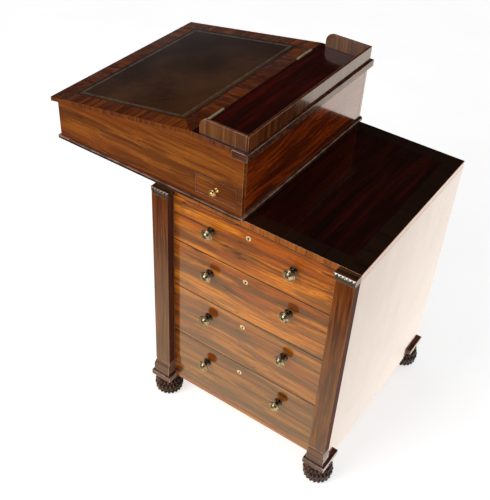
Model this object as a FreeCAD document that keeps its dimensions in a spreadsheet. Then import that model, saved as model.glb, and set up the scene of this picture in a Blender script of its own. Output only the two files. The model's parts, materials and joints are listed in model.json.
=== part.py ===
import FreeCAD, Part
import Sketcher
import math
import os
import re

# A davenport desk: a chest of four side drawers on bun feet, and a slope-topped writing box that
# slides over it.  Millimetres.  +Z is up.  The writer sits at -Y and faces +Y, so the drawers open
# to the writer's right, along +X.  Sizes and places are worked out from the middle of the chest,
# and each sub-part is then moved so that the origin lies on the floor under the middle of the
# whole desk.  It stands as in use, with the writing box drawn forward over the writer's lap.
# The box's slide, its lid, the four drawers and the pen drawer move.

SIZES = {
    # chest
    "base_width": 512,
    "base_depth": 510,
    "panel": 18,
    "top_board": 16.5,
    "bottom_rail": 15.5,
    "front_board": 20,
    "stile_thick": 20,
    "top_rail": 14,
    "top_rail_depth": 22,
    "dust_board": 10,
    "dust_set": 1,
    "guide_height": 20,
    # drawers, counted from the top
    "bay_1": 124,
    "bay_2": 138.5,
    "bay_3": 154.5,
    "bay_4": 157,
    "knob_drop_1": 52.5,
    "knob_drop_2": 50.5,
    "knob_drop_3": 51.5,
    "knob_drop_4": 56,
    "key_drop_1": 24,
    "key_drop_2": 24.5,
    "key_drop_3": 27,
    "key_drop_4": 28,
    "front_gap": 2,
    "side_gap": 0.8,
    "run_gap": 0.3,
    "drawer_top_gap": 3,
    "drawer_rear_gap": 6,
    "drawer_wall": 9,
    "drawer_back": 8,
    "drawer_bottom": 6,
    "bottom_lift": 5,
    "groove": 3,
    "wall_gap": 1,
    # drawer knobs and locks
    "knob_spread": 212,
    "knob_head": 30,
    "knob_out": 28,
    "knob_crown": 10,
    "knob_tip": 10.5,
    "knob_under": 5,
    "knob_neck": 10,
    "knob_ring": 15,
    "knob_rose": 22,
    "knob_step": 2.5,
    "knob_screw": 6,
    "screw_end": 8,
    "nut_size": 14,
    "nut_thick": 5,
    "bore_gap": 0.2,
    "key_offset": 10,
    "key_bore": 6,
    "key_pin": 3,
    "escutcheon": 13,
    "escutcheon_deep": 2.5,
    "escutcheon_proud": 0.6,
    "lock_width": 54,
    "lock_below_key": 18,
    "lock_thick": 9,
    "selvage": 14,
    "selvage_thick": 2,
    # pilasters, plinths and feet
    "pilaster_width": 44,
    "pilaster_out": 22,
    "pilaster_set": 2,
    "capital_height": 27,
    "capital_flare": 9,
    "abacus": 6,
    "plinth_height": 70,
    "plinth_chamfer": 18,
    "plinth_outset": 5,
    "plate_height": 15,
    "plate_drop": 5,
    "plate_outset": 8.5,
    "plate_length": 71.5,
    "plate_width": 59,
    "foot_height": 65,
    "foot_width": 77,
    "foot_top": 62,
    "foot_bottom": 40,
    "foot_neck": 58,
    "foot_collar": 5,
    "foot_cove": 3,
    "foot_waist": 33,
    "flute_size": 10,
    "flute_deep": 2,
    "glide": 14,
    "glide_height": 4,
    # writing box
    "box_travel": 283,
    "box_set": 1.5,
    "box_over": 3,
    "box_length": 512,
    "box_wall": 12,
    "box_back_height": 156,
    "box_front_height": 93.5,
    "slide_gap": 0.3,
    "moulding_height": 8,
    "moulding_out": 5.5,
    "box_floor": 8,
    "top_depth": 131,
    "top_outset": 2,
    "lid_thick": 10.1,
    "lid_seat": 0.3,
    "lid_overhang": 19.7,
    "joint_gap": 0.5,
    "ledge_height": 17,
    "ledge_out": 6.5,
    "ledge_behind": 10.3,
    "ledge_return": 28,
    "gallery_set": 4,
    "gallery_height": 36,
    "gallery_thick": 6,
    "gallery_behind": 4.7,
    "ear_length": 119.7,
    "ear_round": 20,
    # sliding dovetail between the chest and the box
    "tongue_low": 44,
    "tongue_high": 58,
    "tongue_gap": 0.4,
    "tongue_head_gap": 0.5,
    "batten_width": 30,
    "rear_stop": 18,
    "front_stop": 6,
    "stop_gap": 0.3,
    # lid fittings
    "leather_side": 37,
    "leather_front": 41.4,
    "leather_rear": 47.15,
    "leather_thick": 1.2,
    "hinge_spread": 360,
    "hinge_length": 63,
    "hinge_leaf": 1,
    "leaf_deep": 8.5,
    "knuckle": 5.2,
    "knuckle_gap": 0.3,
    "knuckle_room": 0.7,
    "pin": 2.4,
    "pin_gap": 0.05,
    "slope_lock_width": 54,
    "slope_lock_height": 40,
    "slope_key_drop": 24,
    "catch_width": 12,
    "catch_thick": 2.5,
    "catch_deep": 4.5,
    "catch_plate": 34,
    "catch_plate_thick": 1.5,
    "catch_room": 2,
    # pen drawer in the right-hand wall of the box
    "pen_set": 12.5,
    "pen_lift": 23,
    "pen_width": 106.5,
    "pen_height": 49.2,
    "pen_gap": 0.4,
    "pen_top_gap": 3,
    "pen_length": 188,
    "pen_wall": 5,
    "pen_bottom": 4,
    "bead_width": 2.2,
    "bead_deep": 6,
    "bead_proud": 0.8,
    "pen_knob_head": 17,
    "pen_knob_out": 20,
    "pen_knob_crown": 7,
    "pen_knob_tip": 5,
    "pen_knob_neck": 6,
    "pen_knob_ring": 8.5,
    "pen_knob_under": 2,
    "pen_knob_rose": 12,
    "pen_knob_step": 1.6,
    "pen_screw": 4,
    "pen_screw_end": 5,
    "house_wall": 8,
    "house_gap": 1,
    "pen_stop": 8,
}

DRAWERS = (1, 2, 3, 4)
START, END, CENTRE = 1, 2, 3
KNUCKLES = 5
FLUTES = 12
SIDES = ("-", "")
WORD = re.compile(r"[a-z][a-z0-9_]*")

# Places that several pieces share, worked out from the sizes.  A rule may use the ones above it.
PLACES = {
    "face_x": "base_width / 2",
    "fronts_back": "face_x - front_board",
    "stile_back": "face_x - stile_thick",
    "inside_left": "-face_x + panel",
    "half_depth": "base_depth / 2",
    "half_inside": "half_depth - panel",
    "half_opening": "half_depth - pilaster_width",
    "chest_foot": "foot_height + plate_drop",
    "line_4": "chest_foot + bottom_rail",
    "line_3": "line_4 + bay_4",
    "line_2": "line_3 + bay_3",
    "line_1": "line_2 + bay_2",
    "line_0": "line_1 + bay_1",
    "chest_top": "line_0 + top_board",
    "pilaster_face": "face_x + pilaster_out",
    "pilaster_edge": "half_depth - pilaster_set",
    "plinth_top": "chest_foot + plinth_height",
    "plinth_block_top": "plinth_top - plinth_chamfer",
    "capital_low": "chest_top - capital_height",
    "abacus_low": "chest_top - abacus",
    "plate_right": "pilaster_face + plate_outset",
    "plate_right_low": "plate_right - plate_length",
    "plate_left": "-face_x - plate_outset",
    "plate_left_high": "plate_left + plate_length",
    "plate_outer": "half_depth + plate_outset",
    "plate_inner": "plate_outer - plate_width",
    "box_side": "face_x + box_over",
    "box_inside": "box_side - box_wall",
    "box_rear": "half_depth - box_set - box_travel",
    "box_front": "box_rear - box_length",
    "inner_front": "box_front + box_wall",
    "inner_rear": "box_rear - box_wall",
    "hinge_y": "box_rear - top_depth",
    "deck": "chest_top + slide_gap",
    "floor_under": "deck + moulding_height",
    "floor_top": "floor_under + box_floor",
    "wall_back_top": "deck + box_back_height",
    "wall_front_top": "deck + box_front_height",
    "slope": "(wall_back_top - wall_front_top) / (hinge_y - box_front)",
    "lid_under_back": "wall_back_top + lid_seat",
    "lid_top_back": "lid_under_back + lid_thick",
    "lid_rear": "hinge_y - joint_gap / 2",
    "lid_front": "box_front - lid_overhang",
    "lid_half": "box_side + top_outset",
    "tongue_rear": "inner_rear - rear_stop - stop_gap",
    "tongue_front": "inner_front + front_stop + stop_gap + box_travel",
    "tongue_top": "floor_under - tongue_head_gap",
    "tongue_lean": "(tongue_high - tongue_low) / 2 / (tongue_top - chest_top)",
    "pen_rear": "box_rear - pen_set",
    "pen_front": "pen_rear - pen_width",
    "pen_low": "deck + pen_lift",
    "pen_high": "pen_low + pen_height",
    "pen_tray_end": "box_inside - pen_length",
    "catch_y": "inner_front - lock_thick / 2",
    "knuckle_clear": "knuckle / 2 + knuckle_room",
    "cove_low": "foot_height - foot_collar - foot_cove",
    "flute_reach": "foot_width / 2 - flute_deep + flute_size / 2",
    "foot_left": "plate_left + plate_length / 2",
    "foot_right": "plate_right_low + plate_length / 2",
    "foot_side": "plate_outer - plate_width / 2",
    "middle_x": "(foot_left + foot_right) / 2",
    "middle_y": "(lid_front + foot_side + foot_width / 2) / 2",
}

doc = FreeCAD.newDocument("davenport_desk")
nodes = []


# ---- the sheet, rules and primitives ------------------------------------------------------------

def fill_sheet():
    """Write every driving size into the sheet, one aliased cell each."""
    sheet = doc.addObject("Spreadsheet::Sheet", "Dims")
    for row, (alias, size) in enumerate(SIZES.items(), start=1):
        sheet.set(f"A{row}", alias)
        sheet.set(f"B{row}", str(size))
        sheet.setAlias(f"B{row}", alias)
    doc.recompute()


def fill_places():
    """Hold every shared place as a number bound to the sheet's cells and to the places above it."""
    places = doc.addObject("App::VarSet", "Places")
    for name, rule in PLACES.items():
        places.addProperty("App::PropertyFloat", name)
        bind(places, name, rule)
    doc.recompute()


def bind(item, prop, rule):
    """Drive a property by a rule, with its words read from the sheet and from the shared places."""
    item.setExpression(prop, WORD.sub(lambda word: home(word[0]) + word[0], rule))


def home(word):
    """Where a rule finds a word: in the sheet or among the shared places."""
    return "Dims." if word in SIZES else "Places."


def value(rule):
    """A rule's value now, for the first drawing of a sketch."""
    def look_up(word):
        return f"({SIZES.get(word[0]) or getattr(doc.Places, word[0])})"
    return FreeCAD.Units.Quantity(WORD.sub(look_up, rule)).Value


def node(label, *pieces):
    """Gather a sub-part's solids, move them into the desk's frame and list them for writing."""
    for number, piece in enumerate(pieces, start=1):
        piece.Label = f"{label}_solid_{number}"
    whole = doc.addObject("Part::Compound", label)
    whole.Links = list(pieces)
    whole.Label = label
    nodes.append(place(whole, "-middle_x", "-middle_y", "0"))


def board(name, x, y, z):
    """A rectangular piece between a low and a high rule along each axis."""
    box = doc.addObject("Part::Box", name)
    for side, axis, (low, high) in zip(("Length", "Width", "Height"), "xyz", (x, y, z)):
        bind(box, side, f"({high}) - ({low})")
        bind(box, f"Placement.Base.{axis}", low)
    return box


def rod(name, diameter, x, y, z):
    """A round piece along X between two rules, centred on y and z."""
    cylinder = doc.addObject("Part::Cylinder", name)
    cylinder.Placement = FreeCAD.Placement(FreeCAD.Vector(), FreeCAD.Rotation(FreeCAD.Vector(0, 1, 0), 90))
    bind(cylinder, "Radius", f"({diameter}) / 2")
    bind(cylinder, "Height", f"({x[1]}) - ({x[0]})")
    return place(cylinder, x[0], y, z)


def bore_along_y(name, diameter, x, y, z):
    """A round piece along Y between two rules, centred on x and z."""
    cylinder = doc.addObject("Part::Cylinder", name)
    cylinder.Placement = FreeCAD.Placement(FreeCAD.Vector(), FreeCAD.Rotation(FreeCAD.Vector(1, 0, 0), -90))
    bind(cylinder, "Radius", f"({diameter}) / 2")
    bind(cylinder, "Height", f"({y[1]}) - ({y[0]})")
    return place(cylinder, x, y[0], z)


def frustum(name, low_x, low_y, high_x, high_y, z):
    """A four-sided tapered piece: a low rectangle at z[0] and a high one at z[1]."""
    wedge = doc.addObject("Part::Wedge", name)
    turn = FreeCAD.Rotation(FreeCAD.Vector(1, 0, 0), 90)
    wedge.Placement = FreeCAD.Placement(FreeCAD.Vector(), turn)
    faces = {"Xmin": low_x[0], "Xmax": low_x[1], "Zmin": f"-({low_y[1]})", "Zmax": f"-({low_y[0]})",
             "X2min": high_x[0], "X2max": high_x[1], "Z2min": f"-({high_y[1]})", "Z2max": f"-({high_y[0]})",
             "Ymin": z[0], "Ymax": z[1]}
    for prop, rule in faces.items():
        bind(wedge, prop, rule)
    return wedge


def fused(name, pieces):
    """One solid made of several."""
    fuse = doc.addObject("Part::MultiFuse", name)
    fuse.Shapes = pieces
    fuse.Refine = True
    return fuse


def cut(name, base, tools):
    """The base piece with the tools' shapes taken away."""
    result = doc.addObject("Part::Cut", name)
    result.Base = base
    result.Tool = tools[0] if len(tools) == 1 else fused(name + "_tools", tools)
    return result


def span(sign, inner, outer):
    """A low and high rule on the +Y side, or mirrored to the -Y side."""
    if sign == "-":
        return (f"-({outer})", f"-({inner})")
    return (inner, outer)


# ---- sketches -----------------------------------------------------------------------------------

def arc_through(start, end, radius):
    """An arc between two points; a positive radius bulges to the right of the way there.

    A sketch reads every arc anticlockwise, so one that bulges to the left is drawn from its end.
    """
    middle = (start + end) * 0.5
    along = end - start
    right = FreeCAD.Vector(along.y, -along.x, 0).normalize()
    size = abs(radius)
    sagitta = size - math.sqrt(size ** 2 - (along.Length / 2) ** 2)
    crown = middle + right * math.copysign(sagitta, radius)
    return Part.Arc(start, crown, end) if radius > 0 else Part.Arc(end, crown, start)


def swell(across, along):
    """Radius rule of an arc square to its widest place: how far it comes in, and over what length."""
    return f"((({across}) ^ 2 + ({along}) ^ 2) / (2 * ({across})))"


def outline(body, role, points, arcs=None, offset=None):
    """A closed sketch on one of the body's own planes: each corner is a pair of rules.

    arcs gives the signed radius rule of each side that is round, by its first corner's number.
    """
    arcs = arcs or {}
    plane = next(f for f in body.Origin.OriginFeatures if f.Role == role)
    sketch = body.newObject("Sketcher::SketchObject", body.Name + "_outline")
    sketch.AttachmentSupport = (plane, [""])
    sketch.MapMode = "FlatFace"
    if offset:
        bind(sketch, "AttachmentOffset.Base.z", offset)
    corners = [FreeCAD.Vector(value(u), value(v), 0) for u, v in points]
    ends = []
    for index, start in enumerate(corners):
        end = corners[(index + 1) % len(corners)]
        if index in arcs:
            sketch.addGeometry(arc_through(start, end, value(arcs[index])))
        else:
            sketch.addGeometry(Part.LineSegment(start, end))
        drawn = sketch.Geometry[index]
        forward = (drawn.StartPoint - start).Length < (drawn.EndPoint - start).Length
        ends.append((START, END) if forward else (END, START))
    for index, (u, v) in enumerate(points):
        begin, finish = ends[index]
        after = (index + 1) % len(points)
        sketch.addConstraint(Sketcher.Constraint("Coincident", index, finish, after, ends[after][0]))
        for kind, rule in (("DistanceX", u), ("DistanceY", v)):
            corner = Sketcher.Constraint(kind, -1, START, index, begin, value(rule))
            bind(sketch, f"Constraints[{sketch.addConstraint(corner)}]", rule)
    for index, rule in arcs.items():
        size = Sketcher.Constraint("Radius", index, abs(value(rule)))
        bind(sketch, f"Constraints[{sketch.addConstraint(size)}]", rule.lstrip("-"))
    return sketch


def prism(name, role, points, low, high, arcs=None):
    """A body padded between two rules along the normal of one of its planes."""
    body = doc.addObject("PartDesign::Body", name)
    pad = body.newObject("PartDesign::Pad", name + "_pad")
    pad.Profile = outline(body, role, points, arcs, offset=low)
    bind(pad, "Length", f"({high}) - ({low})")
    return body


def turned(name, axis, points, arcs=None):
    """A body turned about H_Axis (lying along X) or V_Axis (upright) of its XZ plane."""
    body = doc.addObject("PartDesign::Body", name)
    turning = body.newObject("PartDesign::Revolution", name + "_turning")
    sketch = outline(body, "XZ_Plane", points, arcs)
    turning.Profile = sketch
    turning.ReferenceAxis = (sketch, [axis])
    turning.Angle = 360
    return body


def place(item, x, y, z):
    """Bind where an item's own origin goes."""
    for axis, rule in zip("xyz", (x, y, z)):
        bind(item, f"Placement.Base.{axis}", rule)
    return item


# ---- chest --------------------------------------------------------------------------------------

def chest_panels():
    """Top, back, knee panel, closed left side and bottom."""
    whole_x = ("-face_x", "face_x")
    inside_x = ("inside_left", "fronts_back")
    inside_y = ("-half_inside", "half_inside")
    upright = ("chest_foot", "line_0")
    node("base_top", board("base_top", whole_x, ("-half_depth", "half_depth"), ("line_0", "chest_top")))
    node("back_panel", board("back_panel", whole_x, ("half_inside", "half_depth"), upright))
    node("knee_panel", board("knee_panel", whole_x, ("-half_depth", "-half_inside"), upright))
    node("left_panel", board("left_panel", ("-face_x", "inside_left"), inside_y, upright))
    node("bottom_board", board("bottom_board", inside_x, inside_y, ("chest_foot", "line_4")))


def chest_frame():
    """Rails, the stiles that the pilasters cover, and the dust boards between the drawers."""
    inside_y = ("-half_inside", "half_inside")
    node("bottom_rail", board("bottom_rail", ("fronts_back", "face_x"), inside_y, ("chest_foot", "line_4")))
    node("top_rail", board("top_rail", ("stile_back - top_rail_depth", "stile_back"), inside_y,
                           ("line_0 - top_rail", "line_0")))
    stiles = [board("stile", ("stile_back", "face_x"), span(sign, "half_opening", "half_inside"),
                    ("line_4", "line_0"))
              for sign in SIDES]
    node("drawer_stiles", *stiles)
    dust_x = ("inside_left", "fronts_back - dust_set")
    boards = [board("dust_board_below", dust_x, inside_y,
                    (f"line_{bay} - dust_board / 2", f"line_{bay} + dust_board / 2"))
              for bay in DRAWERS[:-1]]
    node("dust_boards", *boards)


def bay_floor(bay):
    """Height of the surface that a drawer runs on."""
    return f"line_{bay}" if bay == DRAWERS[-1] else f"(line_{bay} + dust_board / 2)"


def bay_ceiling(bay):
    """Height of the lowest thing above a drawer's walls."""
    return "(line_0 - top_rail)" if bay == DRAWERS[0] else f"(line_{bay - 1} - dust_board / 2)"


def drawer_guides():
    """Strips that fill the space between each drawer and the panels and keep it straight."""
    strips = []
    for bay in DRAWERS:
        z = (bay_floor(bay), f"{bay_floor(bay)} + guide_height")
        for sign in SIDES:
            strips.append(board("drawer_guide", ("inside_left", "fronts_back - dust_set"),
                                span(sign, "half_opening", "half_inside"), z))
    node("drawer_guides", *strips)


def pilasters():
    """Flat pilasters at both ends of the drawer side, with a flared capital on each.

    The capitals stand clear of the top drawer's way, which ends at the line over its front.
    """
    shaft_x = ("face_x", "pilaster_face")
    flare_x = ("face_x", "pilaster_face + capital_flare")
    drawer_way = board("top_drawer_way", flare_x, ("-half_opening", "half_opening"),
                       ("capital_low", "line_0"))
    shafts = []
    capitals = []
    for sign in SIDES:
        shaft_y = span(sign, "half_opening", "pilaster_edge")
        flare_y = span(sign, "half_opening - capital_flare", "pilaster_edge + capital_flare")
        shafts.append(board("pilaster", shaft_x, shaft_y, ("plinth_top", "capital_low")))
        bell = frustum("capital_bell", shaft_x, shaft_y, flare_x, flare_y, ("capital_low", "abacus_low"))
        slab = board("capital_abacus", flare_x, flare_y, ("abacus_low", "chest_top"))
        capitals.append(cut("capital", fused("capital_blank", [bell, slab]), [drawer_way]))
    node("pilasters", *shafts)
    node("capitals", *capitals)


def plinths():
    """A moulded plate over each foot; those under the pilasters carry a chamfered block too."""
    chest_volume = board("chest_volume", ("-face_x", "face_x"), ("-half_depth", "half_depth"),
                         ("chest_foot", "chest_top"))
    plate_z = ("foot_height", "foot_height + plate_height")
    block_x = ("face_x", "pilaster_face + plinth_outset")
    pieces = []
    for sign in SIDES:
        plate_y = span(sign, "plate_inner", "plate_outer")
        left_plate = board("left_plate", ("plate_left", "plate_left_high"), plate_y, plate_z)
        pieces.append(cut("left_plinth", left_plate, [chest_volume]))
        block_y = span(sign, "half_opening", "pilaster_edge + plinth_outset")
        stack = fused("right_stack", [
            board("right_plate", ("plate_right_low", "plate_right"), plate_y, plate_z),
            board("plinth_block", block_x, block_y, (plate_z[1], "plinth_block_top")),
            frustum("plinth_chamfer", block_x, block_y, ("face_x", "pilaster_face"),
                    span(sign, "half_opening", "pilaster_edge"), ("plinth_block_top", "plinth_top"))])
        pieces.append(cut("right_plinth", stack, [chest_volume]))
    node("plinths", *pieces)


def foot(name):
    """A bun foot with a collar at its top and upright flutes between its lobes."""
    points = [("0", "glide_height"), ("foot_bottom / 2", "glide_height"), ("foot_width / 2", "foot_waist"),
              ("foot_neck / 2", "cove_low"),
              ("foot_top / 2", "foot_height - foot_collar"), ("foot_top / 2", "foot_height"),
              ("0", "foot_height")]
    below = swell("(foot_width - foot_bottom) / 2", "foot_waist - glide_height")
    above = swell("(foot_width - foot_neck) / 2", "cove_low - foot_waist")
    body = turned(name, "V_Axis", points, {1: below, 2: above})
    doc.recompute()
    flute = body.newObject("PartDesign::Pocket", name + "_flute")
    plane = next(f for f in body.Origin.OriginFeatures if f.Role == "XY_Plane")
    ring = body.newObject("Sketcher::SketchObject", name + "_ring")
    ring.AttachmentSupport = (plane, [""])
    ring.MapMode = "FlatFace"
    centre = FreeCAD.Vector(value("flute_reach"), 0, 0)
    ring.addGeometry(Part.Circle(centre, FreeCAD.Vector(0, 0, 1), value("flute_size / 2")))
    ring.addConstraint(Sketcher.Constraint("PointOnObject", 0, CENTRE, -1))
    reach = ring.addConstraint(Sketcher.Constraint("DistanceX", -1, START, 0, CENTRE, centre.x))
    bind(ring, f"Constraints[{reach}]", "flute_reach")
    size = ring.addConstraint(Sketcher.Constraint("Radius", 0, value("flute_size / 2")))
    bind(ring, f"Constraints[{size}]", "flute_size / 2")
    flute.Profile = ring
    flute.Reversed = True
    bind(flute, "Length", "foot_height - foot_collar")
    doc.recompute()
    flutes = body.newObject("PartDesign::PolarPattern", name + "_flutes")
    flutes.Originals = [flute]
    flutes.Axis = (ring, ["N_Axis"])
    flutes.Angle = 360
    flutes.Occurrences = FLUTES
    body.Tip = flutes
    return body


def feet():
    """Four bun feet and the round metal glide under each."""
    buns = []
    glides = []
    for centre_x in ("foot_left", "foot_right"):
        for sign in SIDES:
            centre_y = f"{sign}foot_side"
            buns.append(place(foot("bun_foot"), centre_x, centre_y, "0"))
            disc = doc.addObject("Part::Cylinder", "glide")
            bind(disc, "Radius", "glide / 2")
            bind(disc, "Height", "glide_height")
            glides.append(place(disc, centre_x, centre_y, "0"))
    node("bun_feet", *buns)
    node("foot_glides", *glides)


def slide_tongue():
    """The dovetailed tongue on the chest's top that holds the box down and lets it slide."""
    points = [("-tongue_low / 2", "chest_top"), ("tongue_low / 2", "chest_top"),
              ("tongue_high / 2", "tongue_top"), ("-tongue_high / 2", "tongue_top")]
    node("slide_tongue", prism("slide_tongue", "XZ_Plane", points, "-tongue_rear", "-tongue_front"))


# ---- drawers ------------------------------------------------------------------------------------

def knob(name, sizes, screw_from):
    """A turned brass knob along X: rose, neck, ring and a domed head, with its screw behind.

    sizes names the rose, neck, ring, head, tip, crown, under-head, reach, step and screw rules.
    """
    rose, neck, ring, head, tip, crown, under, reach, step, screw = sizes
    shoulder = f"({reach} - {crown})"
    collar = f"({shoulder} - {under})"
    points = [(f"-({screw_from})", "0"), (f"-({screw_from})", f"{screw} / 2"), ("0", f"{screw} / 2"),
              ("0", f"{rose} / 2"), (step, f"{rose} / 2"), (f"{step} * 2", f"{neck} / 2"),
              (f"{collar} - {step}", f"{neck} / 2"), (f"{collar} - {step}", f"{ring} / 2"),
              (collar, f"{ring} / 2"), (collar, f"{neck} / 2"), (shoulder, f"{head} / 2"),
              (reach, f"{tip} / 2"), (reach, "0")]
    return turned(name, "H_Axis", points, {10: "-" + swell(f"({head} - {tip}) / 2", crown)})


def drawer_knob(bay, sign, holes):
    """One knob of a drawer with its nut; the hole for its screw goes into holes."""
    y = f"{sign}(knob_spread / 2)"
    z = f"line_{bay - 1} - knob_drop_{bay}"
    sizes = ("knob_rose", "knob_neck", "knob_ring", "knob_head", "knob_tip", "knob_crown", "knob_under",
             "knob_out", "knob_step", "knob_screw")
    grip = place(knob(f"knob_{bay}", sizes, "front_board + screw_end"), "face_x", y, z)
    nut_x = ("fronts_back - nut_thick", "fronts_back")
    disc = rod(f"nut_{bay}_disc", "nut_size", nut_x, y, z)
    nut = cut(f"nut_{bay}", disc, [rod(f"nut_{bay}_bore", "knob_screw + bore_gap * 2", nut_x, y, z)])
    holes.append(rod(f"knob_hole_{bay}", "knob_screw + bore_gap * 2", ("fronts_back", "face_x"), y, z))
    return [grip, nut]


def drawer_lock(bay, holes):
    """A cut drawer lock let into the front's back, with its key pin and round escutcheon."""
    y = "-key_offset"
    z = f"line_{bay - 1} - key_drop_{bay}"
    lock_y = (f"{y} - lock_width / 2", f"{y} + lock_width / 2")
    top = f"(line_{bay - 1} - front_gap / 2)"
    case_front = "(fronts_back + lock_thick)"
    case = board(f"lock_case_{bay}", ("fronts_back", case_front), lock_y, (f"{z} - lock_below_key", top))
    selvage = board(f"lock_selvage_{bay}", ("fronts_back", "fronts_back + selvage"), lock_y,
                    (f"{top} - selvage_thick", top))
    pin = rod(f"key_pin_{bay}", "key_pin", (case_front, "face_x - escutcheon_deep"), y, z)
    body = fused(f"lock_{bay}", [case, selvage, pin])
    rim_x = ("face_x - escutcheon_deep", "face_x + escutcheon_proud")
    disc = rod(f"escutcheon_{bay}_disc", "escutcheon", rim_x, y, z)
    rim = cut(f"escutcheon_{bay}", disc, [rod(f"escutcheon_{bay}_bore", "key_bore", rim_x, y, z)])
    holes += [case, selvage, disc, rod(f"key_hole_{bay}", "key_bore", (case_front, "face_x"), y, z)]
    return [body, rim]


def drawer(bay):
    """A drawer: thick front, grooved walls, back, loose bottom, two knobs and a lock."""
    low = f"({bay_floor(bay)} + run_gap)"
    high = f"({bay_ceiling(bay)} - drawer_top_gap)"
    rear = "(inside_left + drawer_rear_gap)"
    outer = "(half_opening - wall_gap)"
    inner = f"({outer} - drawer_wall)"
    bottom_low = f"({low} + bottom_lift)"
    bottom_top = f"({bottom_low} + drawer_bottom)"
    bottom = board(f"drawer_{bay}_bottom", (rear, "fronts_back + groove"),
                   (f"-({inner} + groove)", f"{inner} + groove"), (bottom_low, bottom_top))
    holes = [bottom]
    hardware = drawer_knob(bay, "-", holes) + drawer_knob(bay, "", holes)
    lock = drawer_lock(bay, holes)
    half_front = "(half_opening - side_gap)"
    blank = board(f"drawer_{bay}_blank", ("fronts_back", "face_x"), (f"-{half_front}", half_front),
                  (f"line_{bay} + front_gap / 2", f"line_{bay - 1} - front_gap / 2"))
    walls = [cut(f"drawer_{bay}_wall", board("wall_blank", (rear, "fronts_back"), span(sign, inner, outer),
                                             (low, high)), [bottom])
             for sign in SIDES]
    back = board(f"drawer_{bay}_back", (rear, f"{rear} + drawer_back"), (f"-{inner}", inner),
                 (bottom_top, high))
    node(f"drawer_{bay}_front", cut(f"drawer_{bay}_front", blank, holes))
    node(f"drawer_{bay}_walls", *walls, back)
    node(f"drawer_{bay}_bottom", bottom)
    node(f"drawer_{bay}_knobs", *hardware)
    node(f"drawer_{bay}_lock", *lock)


# ---- writing box --------------------------------------------------------------------------------

def wall_top(y):
    """Height of the sloping edge of the box's walls at a place along Y."""
    return f"(wall_front_top + slope * (({y}) - box_front))"


def box_walls():
    """Two sloped walls, the right one open for the pen drawer, and the front, back and floor."""
    side = [("box_front", "deck"), ("box_rear", "deck"), ("box_rear", "wall_back_top"),
            ("hinge_y", "wall_back_top"), ("box_front", "wall_front_top")]
    node("box_left_wall", prism("box_left_wall", "YZ_Plane", side, "-box_side", "-box_inside"))
    right = prism("box_right_blank", "YZ_Plane", side, "box_inside", "box_side")
    opening = board("pen_opening", ("box_inside", "box_side"), ("pen_front", "pen_rear"),
                    ("pen_low", "pen_high"))
    node("box_right_wall", cut("box_right_wall", right, [opening]))
    inside_x = ("-box_inside", "box_inside")
    front = [("box_front", "deck"), ("inner_front", "deck"), ("inner_front", wall_top("inner_front")),
             ("box_front", "wall_front_top")]
    blank = prism("box_front_blank", "YZ_Plane", front, *inside_x)
    node("box_front_wall", cut("box_front_wall", blank, slope_lock()))
    node("box_back_wall", board("box_back_wall", inside_x, ("inner_rear", "box_rear"),
                                ("deck", "wall_back_top")))
    node("box_floor", board("box_floor", inside_x, ("inner_front", "inner_rear"),
                            ("floor_under", "floor_top")))


def slope_lock():
    """The box's own lock with a slot for the lid's catch; returns what it takes from the wall."""
    case_front = "inner_front - lock_thick"
    key_z = "wall_front_top - slope_key_drop"
    case_y = (case_front, "inner_front")
    half = "(slope_lock_width / 2)"
    case = board("slope_lock_case", (f"-{half}", half), case_y,
                 ("wall_front_top - slope_lock_height", "wall_front_top"))
    half_slot = "(catch_width / 2 + catch_room)"
    slot = board("catch_slot", (f"-{half_slot}", half_slot),
                 ("catch_y - catch_thick / 2 - catch_room", "catch_y + catch_thick / 2 + catch_room"),
                 ("wall_front_top - catch_deep - catch_room", "wall_back_top"))
    rim_y = ("box_front - escutcheon_proud", "box_front + escutcheon_deep")
    disc = bore_along_y("slope_rim_disc", "escutcheon", "0", rim_y, key_z)
    rim = cut("slope_rim", disc, [bore_along_y("slope_rim_bore", "key_bore", "0", rim_y, key_z)])
    hole = bore_along_y("slope_key_hole", "key_bore", "0", ("box_front", case_front), key_z)
    node("slope_lock", cut("slope_lock_body", case, [slot]), rim)
    return [case, slot, disc, hole]


def box_mouldings():
    """The moulding round the foot of the box, the fixed top board and the ledge behind it."""
    foot_z = ("deck", "floor_under")
    foot_x = ("-(box_side + moulding_out)", "box_side + moulding_out")
    long_y = ("box_front", "box_rear")
    node("box_moulding",
         board("moulding_front", foot_x, ("box_front - moulding_out", "box_front"), foot_z),
         board("moulding_rear", foot_x, ("box_rear", "box_rear + moulding_out"), foot_z),
         board("moulding_left", (foot_x[0], "-box_side"), long_y, foot_z),
         board("moulding_right", ("box_side", foot_x[1]), long_y, foot_z))
    blank = board("fixed_top_blank", ("-lid_half", "lid_half"), ("hinge_y + joint_gap / 2", "box_rear"),
                  ("wall_back_top", "lid_top_back"))
    node("fixed_top", cut("fixed_top", blank, hinge_room("top", "")))
    ledge_x = ("-(box_side + ledge_out)", "box_side + ledge_out")
    ledge = board("ledge_blank", ledge_x, ("box_rear - ledge_return", "box_rear + ledge_behind"),
                  ("lid_top_back - ledge_height", "lid_top_back"))
    body = board("ledge_rebate", ("-box_side", "box_side"), long_y, ("deck", "wall_back_top"))
    node("ledge_moulding", cut("ledge_moulding", ledge, [body, blank]))


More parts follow.
